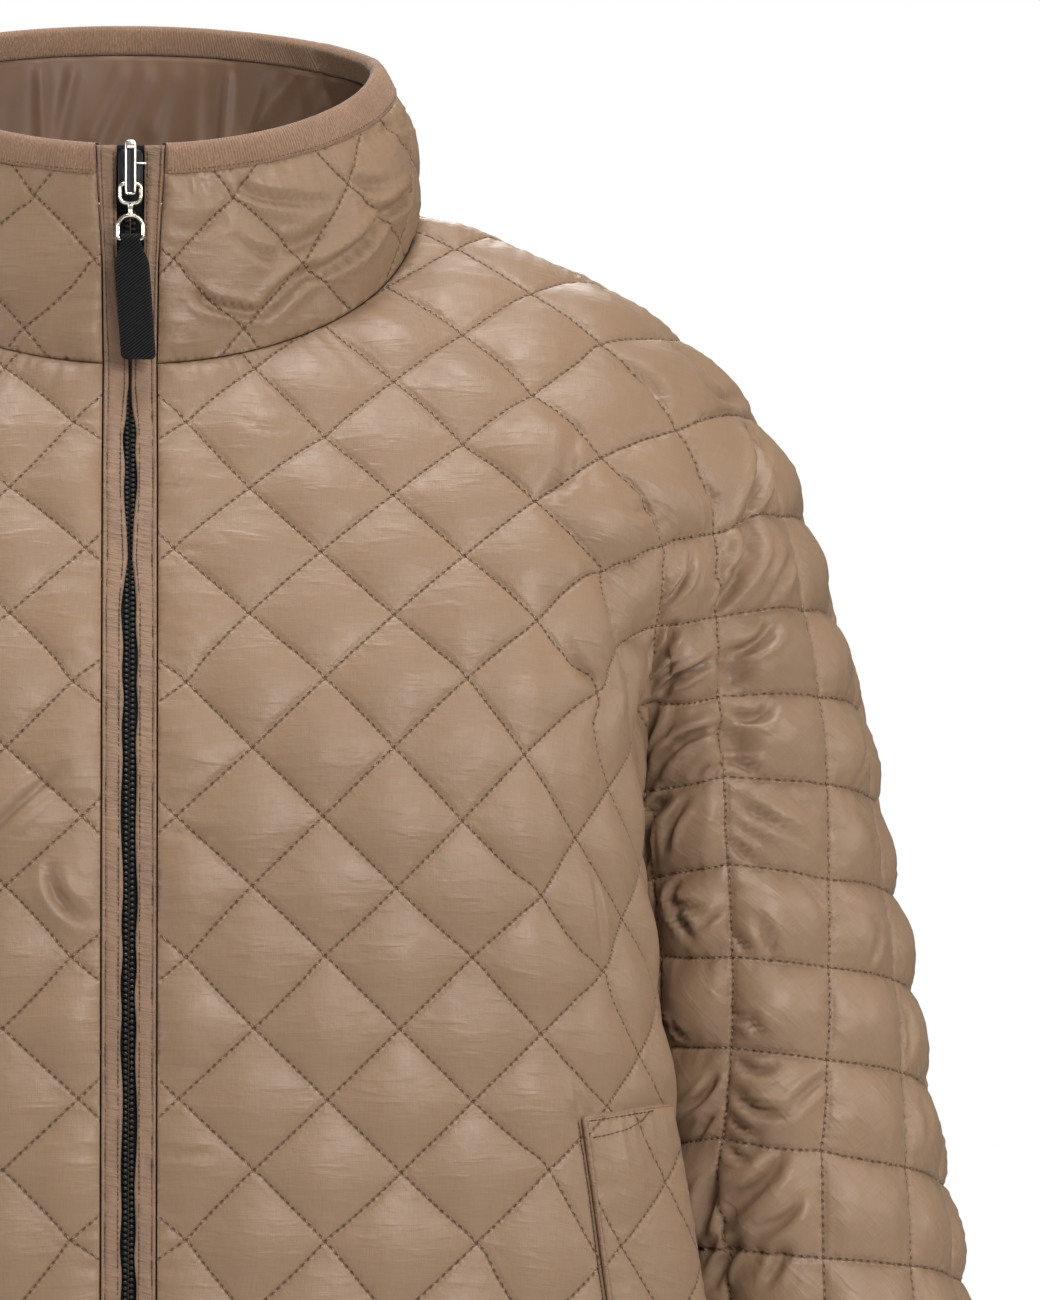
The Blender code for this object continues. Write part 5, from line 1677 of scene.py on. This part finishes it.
# %% A helper for materials
class Finish:
    """A material, with short ways to add the kinds of node that are used here."""

    def __init__(self, name, colour, roughness, metallic=0.0, specular=0.5, sheen=0.0):
        self.material = bpy.data.materials.new(name)
        self.material.use_nodes = True
        self.nodes, self.links = self.material.node_tree.nodes, self.material.node_tree.links
        self.shader = self.nodes["Principled BSDF"]
        self.material.diffuse_color = (*colour, 1)
        set_inputs(self.shader, Base_Color=(*colour, 1), Roughness=roughness, Metallic=metallic,
                   Specular_IOR_Level=specular, Sheen_Weight=sheen, Sheen_Roughness=0.4)
        self.object_place = self.nodes.new("ShaderNodeTexCoord").outputs["Object"]

    def put(self, value, socket):
        if isinstance(value, bpy.types.NodeSocket):
            self.links.new(value, socket)
        else:
            socket.default_value = value

    def maths(self, operation, *values):
        made = self.nodes.new("ShaderNodeMath")
        made.operation = operation
        for value, socket in zip(values, made.inputs):
            self.put(value, socket)
        return made.outputs[0]

    def times(self, *values):
        return self.maths("MULTIPLY", *values)

    def plus(self, *values):
        return self.maths("ADD", *values)

    def mapped(self, vector, scale, turn=(0, 0, 0)):
        made = self.nodes.new("ShaderNodeMapping")
        self.put(vector, made.inputs["Vector"])
        made.vector_type = "TEXTURE"     # turned first, then stretched
        set_inputs(made, Scale=[1 / s for s in scale], Rotation=turn)
        return made.outputs[0]

    def noise(self, vector, scale, detail=2.0, roughness=0.5):
        made = self.nodes.new("ShaderNodeTexNoise")
        self.put(vector, made.inputs["Vector"])
        set_inputs(made, Scale=scale, Detail=detail, Roughness=roughness)
        return made.outputs["Fac"]

    def ramp(self, value, low, high, start=0.0, end=1.0):
        """Value's range from low to high, made to run from start to end."""
        made = self.nodes.new("ShaderNodeMapRange")
        made.interpolation_type = "SMOOTHSTEP"
        self.put(value, made.inputs["Value"])
        set_inputs(made, From_Min=low, From_Max=high, To_Min=start, To_Max=end)
        return made.outputs["Result"]

    def mix(self, share, first, second):
        made = self.nodes.new("ShaderNodeMix")
        made.data_type = "RGBA"
        self.put(share, made.inputs[0])
        for value, socket in ((first, made.inputs[6]), (second, made.inputs[7])):
            self.put((*value, 1) if isinstance(value, tuple) else value, socket)
        return made.outputs[2]

    def bump(self, height, distance, strength=1.0):
        made = self.nodes.new("ShaderNodeBump")
        set_inputs(made, Strength=strength, Distance=distance)
        self.links.new(height, made.inputs["Height"])
        self.links.new(made.outputs[0], self.shader.inputs["Normal"])

    def colour(self, value):
        self.links.new(value, self.shader.inputs["Base Color"])

    def roughness(self, value):
        self.links.new(value, self.shader.inputs["Roughness"])


def tone(colour, by):
    return tuple(min(1.0, c * by) for c in colour)


# %% [markdown]
# ## The quilted nylon
# The shell is a light nylon with a soft sheen. Its threads show as faint lines, and the cloth
# is crimped along a row of stitches, where its colour is darkened as painted shade. The needle's
# holes are dark dots of painted shade in that row, and small pale flecks beside it are a
# painted highlight.

# %% The quilted nylon
SHELL = (0.257, 0.162, 0.098)
# The rows' darker tone and the holes' colour are painted shade, and the pale flecks beside each row are
# a painted highlight.
ROW_SHADE, HOLE_SHADE, FLECK_HIGHLIGHT = 0.74, (0.100, 0.046, 0.016), 1.45
HOLE = 0.30                      # mm, half a needle hole's width


def quilted_finish():
    finish = Finish("quilted_nylon_finish", SHELL, 0.5, specular=0.34, sheen=0.04)
    maths, times, plus = finish.maths, finish.times, finish.plus
    ramp, noise, mix = finish.ramp, finish.noise, finish.mix
    made = finish.nodes.new("ShaderNodeUVMap")
    made.uv_map = "quilt"
    uv = made.outputs[0]
    split = finish.nodes.new("ShaderNodeSeparateXYZ")
    finish.links.new(uv, split.inputs[0])
    # In mm: off is from the nearest row of stitches, step from the middle of a stitch.
    square = SQUARE / MM
    off, step, lit_side = [], [], []
    for axis in (0, 1):
        at = split.outputs[axis]
        centred = maths("SUBTRACT", maths("FRACT", plus(at, 64.5)), 0.5)
        off.append(times(maths("ABSOLUTE", centred), square))
        lit_side.append(times(centred, square * (1, -1)[axis]))
        beats = times(at, float(STITCHES_A_SQUARE))
        beat = maths("SUBTRACT", maths("FRACT", plus(beats, 640.5)), 0.5)
        step.append(times(maths("ABSOLUTE", beat), square / STITCHES_A_SQUARE))
    holes, highlight_flecks = [], []
    for axis in (0, 1):
        along = times(step[1 - axis], 0.8)
        holes.append(maths("SQRT", plus(times(off[axis], off[axis]), times(along, along))))
        beside = times(ramp(lit_side[axis], 0.25, 0.6), ramp(lit_side[axis], 0.8, 1.5, 1.0, 0.0))
        highlight_flecks.append(times(beside, ramp(step[1 - axis], 0.5, 1.1)))
    hole = ramp(maths("MINIMUM", *holes), HOLE, HOLE * 2.0, 1.0, 0.0)
    near_row = plus(maths("MINIMUM", *off), times(noise(uv, 46.0, 1.0), 1.2))
    row = ramp(near_row, 0.8, 1.7, 1.0, 0.0)
    # The shell's own tone, clouded, blotched and threaded, and then the rows' painted shade.
    cloud, blotch = noise(finish.object_place, 9.0, 3.0), noise(uv, 2.6, 4.0, 0.6)
    thread = plus(*[noise(finish.mapped(uv, stretch, (0, 0, math.pi / 4)), 1.0, 1.0)
                    for stretch in ((110, 4, 1), (4, 110, 1))])
    shade = mix(ramp(cloud, 0.35, 0.65), tone(SHELL, 0.955), tone(SHELL, 1.045))
    shade = mix(ramp(blotch, 0.3, 0.7, 0.0, 0.5), shade, tone(SHELL, 0.93))
    shade = mix(ramp(thread, 0.8, 1.25, 0.0, 0.3), shade, tone(SHELL, 0.72))
    # Painted shade: the colour is made darker along each row of stitches, where the groove lies in
    # shade.
    shade = mix(row, shade, tone(SHELL, ROW_SHADE))
    # Painted highlight: pale flecks on the lit side of each row, where light catches the cloth.
    painted_highlight = times(maths("MAXIMUM", *highlight_flecks), ramp(noise(uv, 62.0, 2.0), 0.42, 0.6))
    shade = mix(times(painted_highlight, 0.8), shade, tone(SHELL, FLECK_HIGHLIGHT))
    # Painted shade: the needle holes are dark dots, where each hole lies in shadow.
    varied = ramp(noise(uv, 7.0, 1.0), 0.3, 0.65, 0.4, 0.9)
    finish.colour(mix(times(hole, varied), shade, HOLE_SHADE))
    finish.roughness(ramp(blotch, 0.25, 0.75, 0.38, 0.53))
    level = finish.mapped(uv, (1.3, 6.0, 1), (0, 0, math.pi / 4))
    wrinkle = ramp(noise(level, 1.5, 2.0, 0.5), 0.45, 0.85)
    crimp = times(noise(uv, 16.0, 2.0, 0.6), ramp(near_row, 0.8, 5.0, 1.0, 0.0))
    height = plus(times(noise(uv, 5.5, 4.0, 0.55), 0.38), times(wrinkle, 0.26))
    height = plus(plus(height, times(crimp, 0.55)), times(thread, 0.05))
    finish.bump(maths("SUBTRACT", height, times(hole, 0.45)), 1.0 * MM, 0.85)
    return finish.material


# %% [markdown]
# ## Strips, binding, lining and thread
# The strips are the same nylon, but crinkled. The binding is matt and fuzzy, the lining a darker
# satin with soft creases, and the thread a little lighter than the shell.

# %% Strips, binding, lining and thread
STRIP, RIBBED = (0.236, 0.143, 0.089), (0.285, 0.172, 0.110)
SATIN, THREAD = (0.150, 0.084, 0.050), (0.280, 0.176, 0.107)
DARK_THREAD, BLACK = (0.085, 0.052, 0.034), (0.0075, 0.0075, 0.008)


def strip_finish():
    finish = Finish("placket_nylon_finish", STRIP, 0.52, specular=0.32, sheen=0.04)
    place = finish.object_place
    cloud = finish.noise(finish.mapped(place, (1, 1, 0.35)), 130.0, 3.0, 0.6)
    threads = finish.noise(finish.mapped(place, (2600, 2600, 120)), 1.0, 1.0)
    base = finish.mix(finish.ramp(cloud, 0.35, 0.65), tone(STRIP, 0.9), tone(STRIP, 1.07))
    finish.colour(finish.mix(finish.ramp(threads, 0.45, 0.7, 0.0, 0.25), base, tone(STRIP, 0.72)))
    finish.roughness(finish.ramp(cloud, 0.3, 0.7, 0.45, 0.6))
    wrinkles = finish.noise(finish.mapped(place, (0.5, 1, 2.8), (0, 0.2, 0)), 230.0, 4.0, 0.6)
    finish.bump(wrinkles, 1.3 * MM, 0.9)
    return finish.material


def ribbed_finish():
    finish = Finish("ribbed_binding_finish", RIBBED, 0.85, specular=0.2, sheen=0.35)
    fuzz = finish.noise(finish.mapped(finish.object_place, (1.6, 1.6, 0.7)), 1100.0, 2.0)
    cloud = finish.noise(finish.object_place, 60.0, 3.0)
    base = finish.mix(finish.ramp(cloud, 0.3, 0.7), tone(RIBBED, 0.9), tone(RIBBED, 1.1))
    finish.colour(finish.mix(finish.ramp(fuzz, 0.35, 0.7), tone(RIBBED, 0.74), base))
    finish.bump(fuzz, 0.28 * MM, 0.8)
    return finish.material


def satin_finish():
    finish = Finish("satin_lining_finish", SATIN, 0.50, specular=0.22, sheen=0.05)
    cloud = finish.noise(finish.object_place, 28.0, 3.0)
    finish.colour(finish.mix(finish.ramp(cloud, 0.3, 0.7), tone(SATIN, 0.9), tone(SATIN, 1.08)))
    finish.roughness(finish.ramp(cloud, 0.3, 0.7, 0.42, 0.56))
    folds = finish.noise(finish.mapped(finish.object_place, (1.2, 1.2, 0.8)), 42.0, 3.0, 0.5)
    finish.bump(folds, 0.7 * MM, 0.6)
    return finish.material


def thread_finish(name, colour):
    finish = Finish(name, colour, 0.55, specular=0.35)
    twist = finish.noise(finish.object_place, 900.0, 2.0)
    finish.colour(finish.mix(finish.ramp(twist, 0.35, 0.65), tone(colour, 0.72), tone(colour, 1.3)))
    finish.bump(twist, 0.1 * MM)
    return finish.material


# %% [markdown]
# ## Webbing, plating and plain black
# Tape and strap are woven, so a wave texture draws their ribs, one straight across and one on
# a slant. The casting is plated pale gold. Its body and the floor of its groove lie in shadow,
# and are painted black as painted shade.

# %% Webbing, plating and plain black
def woven_finish(name, turn_by, pitch, dark, light, depth):
    """Black woven tape: ribs of one pitch at one slant in the x, z plane."""
    finish = Finish(name, BLACK, 0.72, specular=0.16, sheen=0.05)
    wave = finish.nodes.new("ShaderNodeTexWave")
    wave.bands_direction = "X"
    wave.inputs["Scale"].default_value = 0.314 / pitch
    finish.links.new(finish.mapped(finish.object_place, (1, 1, 1), (0, turn_by, 0)),
                     wave.inputs["Vector"])
    fibre = finish.noise(finish.mapped(finish.object_place, (1, 1, 3)), 1500.0, 2.0)
    high = finish.plus(wave.outputs["Fac"], finish.times(fibre, 0.35))
    finish.colour(finish.mix(finish.ramp(high, 0.35, 1.1), tone(BLACK, dark), tone(BLACK, light)))
    finish.roughness(finish.ramp(fibre, 0.3, 0.7, 0.62, 0.85))
    finish.bump(high, depth * MM, 0.9)
    return finish.material


def plated_finish():
    finish = Finish("pale_gold_plating", (0.86, 0.80, 0.68), 0.16, metallic=1.0)
    wear = finish.noise(finish.object_place, 420.0, 4.0, 0.65)
    cloud = finish.noise(finish.object_place, 120.0, 2.0)
    finish.colour(finish.mix(finish.ramp(cloud, 0.35, 0.65), (0.80, 0.72, 0.58), (0.92, 0.87, 0.77)))
    finish.roughness(finish.ramp(wear, 0.35, 0.7, 0.16, 0.30))
    finish.bump(wear, 0.006 * MM, 0.5)
    return finish.material


def black_finish(name, colour, dark, light, rough, specular, scale, depth):
    """Plain black, with a fine grain in its tone, its shine and its height."""
    finish = Finish(name, colour, rough[0], specular=specular)
    grain = finish.noise(finish.object_place, scale, 2.0)
    finish.colour(finish.mix(grain, dark, light))
    finish.roughness(finish.ramp(grain, 0.3, 0.7, *rough[1:]))
    finish.bump(grain, depth * MM)
    return finish.material


# %% Put the finishes on
quilted, strip_nylon, ribbed, satin = [make() for make in (
    quilted_finish, strip_finish, ribbed_finish, satin_finish)]
thread = thread_finish("beige_thread", THREAD)
dark_thread = thread_finish("topstitch_thread", DARK_THREAD)
tape_weave = woven_finish("black_zip_tape", math.pi / 2, 0.55 * MM, 0.3, 1.7, 0.32)
webbing = woven_finish("black_twill_webbing", math.radians(52), 0.95 * MM, 0.1, 2.0, 0.55)
plating = plated_finish()
moulded = black_finish("black_moulded_teeth", (0.012, 0.012, 0.013), (0.008, 0.008, 0.009),
                       (0.02, 0.02, 0.021), (0.38, 0.32, 0.46), 0.35, 1400.0, 0.04)
# The black for the slider's body and the floor of its groove is painted shade: those parts lie in
# shadow.
painted_shade_black = black_finish("black_lacquer", (0.01, 0.01, 0.011), (0.007, 0.007, 0.008),
                       (0.016, 0.016, 0.017), (0.45, 0.38, 0.52), 0.3, 700.0, 0.01)
for finish, pieces in ((quilted, [left.object, right.object, back.object, collar.object]
                        + [welt.object for welt in welts]),
                       (strip_nylon, strips), (ribbed, [binding]), (satin, [lining]),
                       (tape_weave, tapes), (webbing, [strap]), (plating, [slider, pull])):
    for piece in pieces:
        piece.data.materials.clear()
        piece.data.materials.append(finish)
# The slider's body and the floor of its groove are painted black: painted shade, where they lie in
# shadow.
slider.data.materials.append(painted_shade_black)
for face in slider.data.polygons:
    x, y, z = face.center / MM
    face.material_index = int(y > -94.6 or abs(x) < 1.6 and -97.9 < y < -97.3)
print("finishes:", ", ".join(sorted(m.name for m in bpy.data.materials if m.users)))

# %% [markdown]
# ## Sewing
# Every panel lists the places of its own stitches, on the lines where u or v is whole. A stitch
# is a spindle of thread, half sunk in the cloth. Teeth are blocks, set half a step apart on the
# two tapes, and they stop where the slider covers them.

# %% Stitches and teeth
STITCH = (2.35 * MM, 0.62 * MM, 0.46 * MM, 0.15)
STITCH_LIFT = 0.24 * MM          # its middle over the bottom of the groove
TOPSTITCH_STEP, TOPSTITCH_START = 2.0 * MM, 3 * MM
stitch_tree = repeat_tree("quilting stitches", thread, 6, 2)
topstitch_tree = repeat_tree("topstitches", dark_thread, 4, 2)
tooth_tree = repeat_tree("zip teeth", moulded, 8)

quilting = []
for panel in (left, right, back, collar, *welts):
    middle, ahead, way_out = panel.stitches()
    quilting.append(repeated(panel.name.replace("quilted", "stitches"), stitch_tree,
                             middle + way_out * STITCH_LIFT, ahead, way_out, STITCH))


# %% Down the strips, and the teeth
TOOTH = (1.25 * MM, 1.9 * MM, 1.3 * MM, 0.0)
TOOTH_STEP, TOOTH_X = 2.1 * MM, 1.15 * MM


def down_the_front(side, share, out, step, first):
    """Points at a share across a strip, or else at the teeth, every step down the front."""
    at = np.arange(first, run_down[-1] - 2 * MM, step)
    y, z = [np.interp(at, run_down, line_points[:, k]) for k in (0, 1)]
    ny, nz = [np.interp(at, run_down, line_out[:, k]) for k in (0, 1)]
    gap = np.interp(z, *[column[::-1] for column in zip(*PLACKET_GAPS)])
    seam = np.interp(at, run_down, line_seam)
    x = np.full(len(at), TOOTH_X) if share is None else gap + (seam - gap) * share
    points = np.stack([side * x, y + out * ny, z + out * nz], axis=1)
    way_out = np.stack([np.zeros(len(at)), ny, nz], axis=1)
    ahead = np.stack([np.zeros(len(at)), nz, -ny], axis=1)
    return points, ahead, way_out


edge_stitches = []
for kind, share, out in (("inner", 0.17, 0.16 * MM), ("seam", 0.80, -0.22 * MM)):
    rows = [down_the_front(side, share, out, TOPSTITCH_STEP, TOPSTITCH_START)
            for side in (1, -1)]
    edge_stitches.append(repeated(f"strip_{kind}_stitches", topstitch_tree,
                                  *[np.vstack(part) for part in zip(*rows)], STITCH))
teeth = []
for side, name, first in ((1, "left", 1.5 * MM), (-1, "right", 1.5 * MM + TOOTH_STEP / 2)):
    points, ahead, way_out = down_the_front(side, None, -1.75 * MM, TOOTH_STEP, first)
    keep = (points[:, 2] < -7 * MM) | (points[:, 2] > 16 * MM)
    teeth.append(repeated("zip_teeth_" + name, tooth_tree, points[keep], ahead[keep],
                          way_out[keep], TOOTH))

# %% [markdown]
# ## Topstitching
# The binding has a row of small stitches along its lower edge. Each welt has one across its top
# and a short slanted one that holds the pocket's corner, and its edge is piped. A piping is a
# thin cord in a fold of cloth, so it is lofted as a tube.

# %% The binding's stitched edge
around, length = even_steps(1.0, 3)
count = round(length / (1.9 * MM))
around, _ = even_steps(1.0, count)
near, way_out = collar_space(np.full(count, 0.93), around)
ahead = np.gradient(near, axis=0)
binding_stitches = repeated(
    "binding_stitches", topstitch_tree, near[1:-1] + way_out[1:-1] * 0.95 * MM,
    ahead[1:-1], way_out[1:-1], (1.25 * MM, 0.4 * MM, 0.4 * MM, 0.1))

# %% The welts' topstitching and piping
# Start and end in mm across from the piped edge, and down from the top. Then the row beside
# the piped edge, which is on the front.
WELT_STITCHES = (((1.4, 1.3), (33, 1.3)), ((1.4, 9.2), (18, 7.6)), ((18, 7.6), (26, 4.8)),
                 ((26, 4.8), (30, 1.3)))
BESIDE_WELT = ((-2.1, 1.0), (-2.1, 95.0))
PIPING = (1.0 * MM, 1.25 * MM)   # half its width and height
corners = front_net.space(WELT_CORNERS[:, 0], WELT_CORNERS[:, 1], np.ones(4, int))[0]
WELT_WIDTH, WELT_LENGTH = [float(np.linalg.norm(corners[i] - corners[0])) for i in (1, 3)]
print(f"welt {WELT_WIDTH * 1000:.0f} mm wide, {WELT_LENGTH * 1000:.0f} mm long")


def welt_line(start, end, step):
    """Rows of place and along, every step of a straight line over the welt."""
    start, end = np.array(start) * MM, np.array(end) * MM
    count = max(2, round(math.dist(start, end) / step))
    t = ((np.arange(count) + 0.5) / count)[:, None]
    across, down = (start * (1 - t) + end * t).T / np.array(((WELT_WIDTH,), (WELT_LENGTH,)))
    across, down = across[:, None], down[:, None]
    one, two, three, four = WELT_CORNERS
    return (one * (1 - across) + two * across) * (1 - down) + (
        four * (1 - across) + three * across) * down


def on_panel(panel, line, shift):
    """Points on a panel's own relief, their directions ahead, and out."""
    points = panel.points(body_flat(front_net, line) + shift, 1, panel.face)
    way_out = front_net.space(line[:, 0], line[:, 1], np.ones(len(line), int))[1]
    return points + way_out * 0.25 * MM, np.gradient(points, axis=0), way_out


welt_stitches, pipings = [], []
for side, name, front, welt in ((1, "left", left, welts[0]), (-1, "right", right, welts[1])):
    made = [on_panel(welt, welt_line(start, end, TOPSTITCH_STEP), welt_cut.shift)
            for start, end in WELT_STITCHES]
    made.append(on_panel(front, welt_line(*BESIDE_WELT, TOPSTITCH_STEP), 0.0))
    points, ahead, way_out = [np.vstack(part) * (side, 1, 1) for part in zip(*made)]
    welt_stitches.append(repeated("welt_topstitches_" + name, topstitch_tree, points, ahead,
                                  way_out, STITCH))
    corner = np.vstack([np.linspace(WELT_CORNERS[1], WELT_CORNERS[0], 30)[:-1],
                        np.linspace(WELT_CORNERS[0], WELT_CORNERS[3], 70)])
    points, way_out = front_net.space(corner[:, 0], corner[:, 1], np.ones(len(corner), int))
    points = points + way_out * 1.5 * MM
    across = np.cross(unit(np.gradient(points, axis=0)), way_out)
    t = 2 * math.pi * np.arange(8) / 8
    rings = (points[:, None] + across[:, None] * np.cos(t)[None, :, None] * PIPING[0]
             + way_out[:, None] * np.sin(t)[None, :, None] * PIPING[1]) * (side, 1, 1)
    piping = loft("welt_piping_" + name, rings)
    piping.data.materials.append(strip_nylon)
    pipings.append(piping)
    print("piping", triangle_count(piping), "triangles")

# %% [markdown]
# ## Floor and light
# A pale floor lies below the jacket, out of the picture. The photograph's light is a white
# studio: even light from all round, and one wide soft light above and in front, which leaves
# the lower side of each pillow a little darker. The camera sees the white world behind.

# %% Floor, world and lamps
FLOOR_Z, FLOOR_RADIUS = -1.35, 2.6
mesh = bmesh.new()
bmesh.ops.create_circle(mesh, cap_ends=True, segments=96, radius=FLOOR_RADIUS,
                        matrix=Matrix.Translation((0, 0, FLOOR_Z)))
floor = mesh_object("floor", mesh)
pale = Finish("pale_floor", (0.88, 0.88, 0.87), 0.8, specular=0.1)
pale.colour(pale.mix(pale.noise(pale.object_place, 1.5, 3.0), (0.86, 0.86, 0.855), (0.90, 0.90, 0.895)))
floor.data.materials.append(pale.material)

world = bpy.data.worlds.new("studio")
bpy.context.scene.world = world
world.use_nodes = True
WORLD_LIGHT = 0.14
tree = world.node_tree
lit = tree.nodes["Background"]
set_inputs(lit, Color=(1, 1, 1, 1), Strength=WORLD_LIGHT)
seen, path, choose = [tree.nodes.new("ShaderNode" + kind) for kind in (
    "Background", "LightPath", "MixShader")]
tree.links.new(path.outputs["Is Camera Ray"], choose.inputs[0])
tree.links.new(lit.outputs[0], choose.inputs[1])
tree.links.new(seen.outputs[0], choose.inputs[2])
set_inputs(seen, Color=(1, 1, 1, 1))
tree.links.new(choose.outputs[0], tree.nodes["World Output"].inputs["Surface"])
LIT = Vector((0.1, 0, -0.25))    # where every lamp points
LAMPS = (
    ("front", (1.1, -2.6, 0.8), 1.2, 62.0), ("top", (0.1, -0.4, 2.8), 1.4, 74.0),
    ("left", (-2.5, -1.5, 0.3), 1.2, 22.0), ("right", (2.8, -0.9, 0.6), 1.2, 24.0),
    ("rear", (0.1, 2.3, 1.7), 1.4, 32.0),
)
for name, place, size, power in LAMPS:
    data = bpy.data.lights.new(name, "AREA")
    data.shape, data.size, data.energy = "DISK", size, power
    lamp = add_object(name, data)
    lamp.location = place
    lamp.rotation_euler = (LIT - lamp.location).to_track_quat("-Z", "Y").to_euler()
bpy.context.scene.view_settings.view_transform = "Standard"
bpy.context.scene.view_settings.look = "None"

# %% [markdown]
# ## Hand over
# Each piece is put on what it rides on, and the solid it stands for is hidden. The quilted
# panels' sizes are measured on their flat cuts, and printed.

# %% Pieces, bodies and cloth
def hand_over(piece, body, slot, node=None, **cut):
    """Puts a piece on what it rides on and hides the solid it stands for. Its slot and the sheet it is
    cut from are not used.
    """
    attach(piece, body)
    if node:
        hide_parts(node)


FRONT_LENGTH = float(run_down[-1])
for panel, node in ((left, "front_left"), (right, "front_right"), (back, "back"),
                    (collar, "collar"), (welts[0], "pocket_welt_left"),
                    (welts[1], "pocket_welt_right")):
    size, area = panel.cut.flat_size()
    hand_over(panel.object, GARMENT, "quilted_nylon", node, flat=size, held="draped", area=area)
    print(f"{node}: flat {size[0]:.3f} x {size[1]:.3f} m, {area:.4f} square metres")
for piece, node, slot, size, held in (
        (binding, "collar_binding", "ribbed_binding", (0.568, 0.022), "stretched"),
        (lining, "collar_lining", "satin_lining", (0.600, 0.074), "gathered"),
        (strips[0], "placket_left", "placket_nylon", (0.0115, FRONT_LENGTH), "hung"),
        (strips[1], "placket_right", "placket_nylon", (0.0115, FRONT_LENGTH), "hung"),
        (tapes[0], "zip_tape_left", "black_tape", (0.0105, FRONT_LENGTH), "hung"),
        (tapes[1], "zip_tape_right", "black_tape", (0.0105, FRONT_LENGTH), "hung")):
    hand_over(piece, GARMENT, slot, node, flat=size, held=held)
hand_over(slider, GARMENT, "pale_gold_metal", "zip_slider")
hand_over(pull, PULL, "pale_gold_metal", "zip_pull")
hand_over(strap, PULL, "black_webbing", "pull_strap", flat=(2 * STRAP_HALF, 0.098), held="folded")
for pieces, slot in (((*quilting, binding_stitches, *welt_stitches, *pipings), "quilted_nylon"),
                     (edge_stitches, "placket_nylon"), (teeth, "black_tape")):
    for piece in pieces:
        hand_over(piece, GARMENT, slot)

# %% Sizes, and the end
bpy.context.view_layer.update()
made = [obj for obj in bpy.data.objects if obj.type == "MESH" and obj.name not in frame["nodes"]]
print("triangles in all:", sum(triangle_count(obj) for obj in made if obj is not floor))
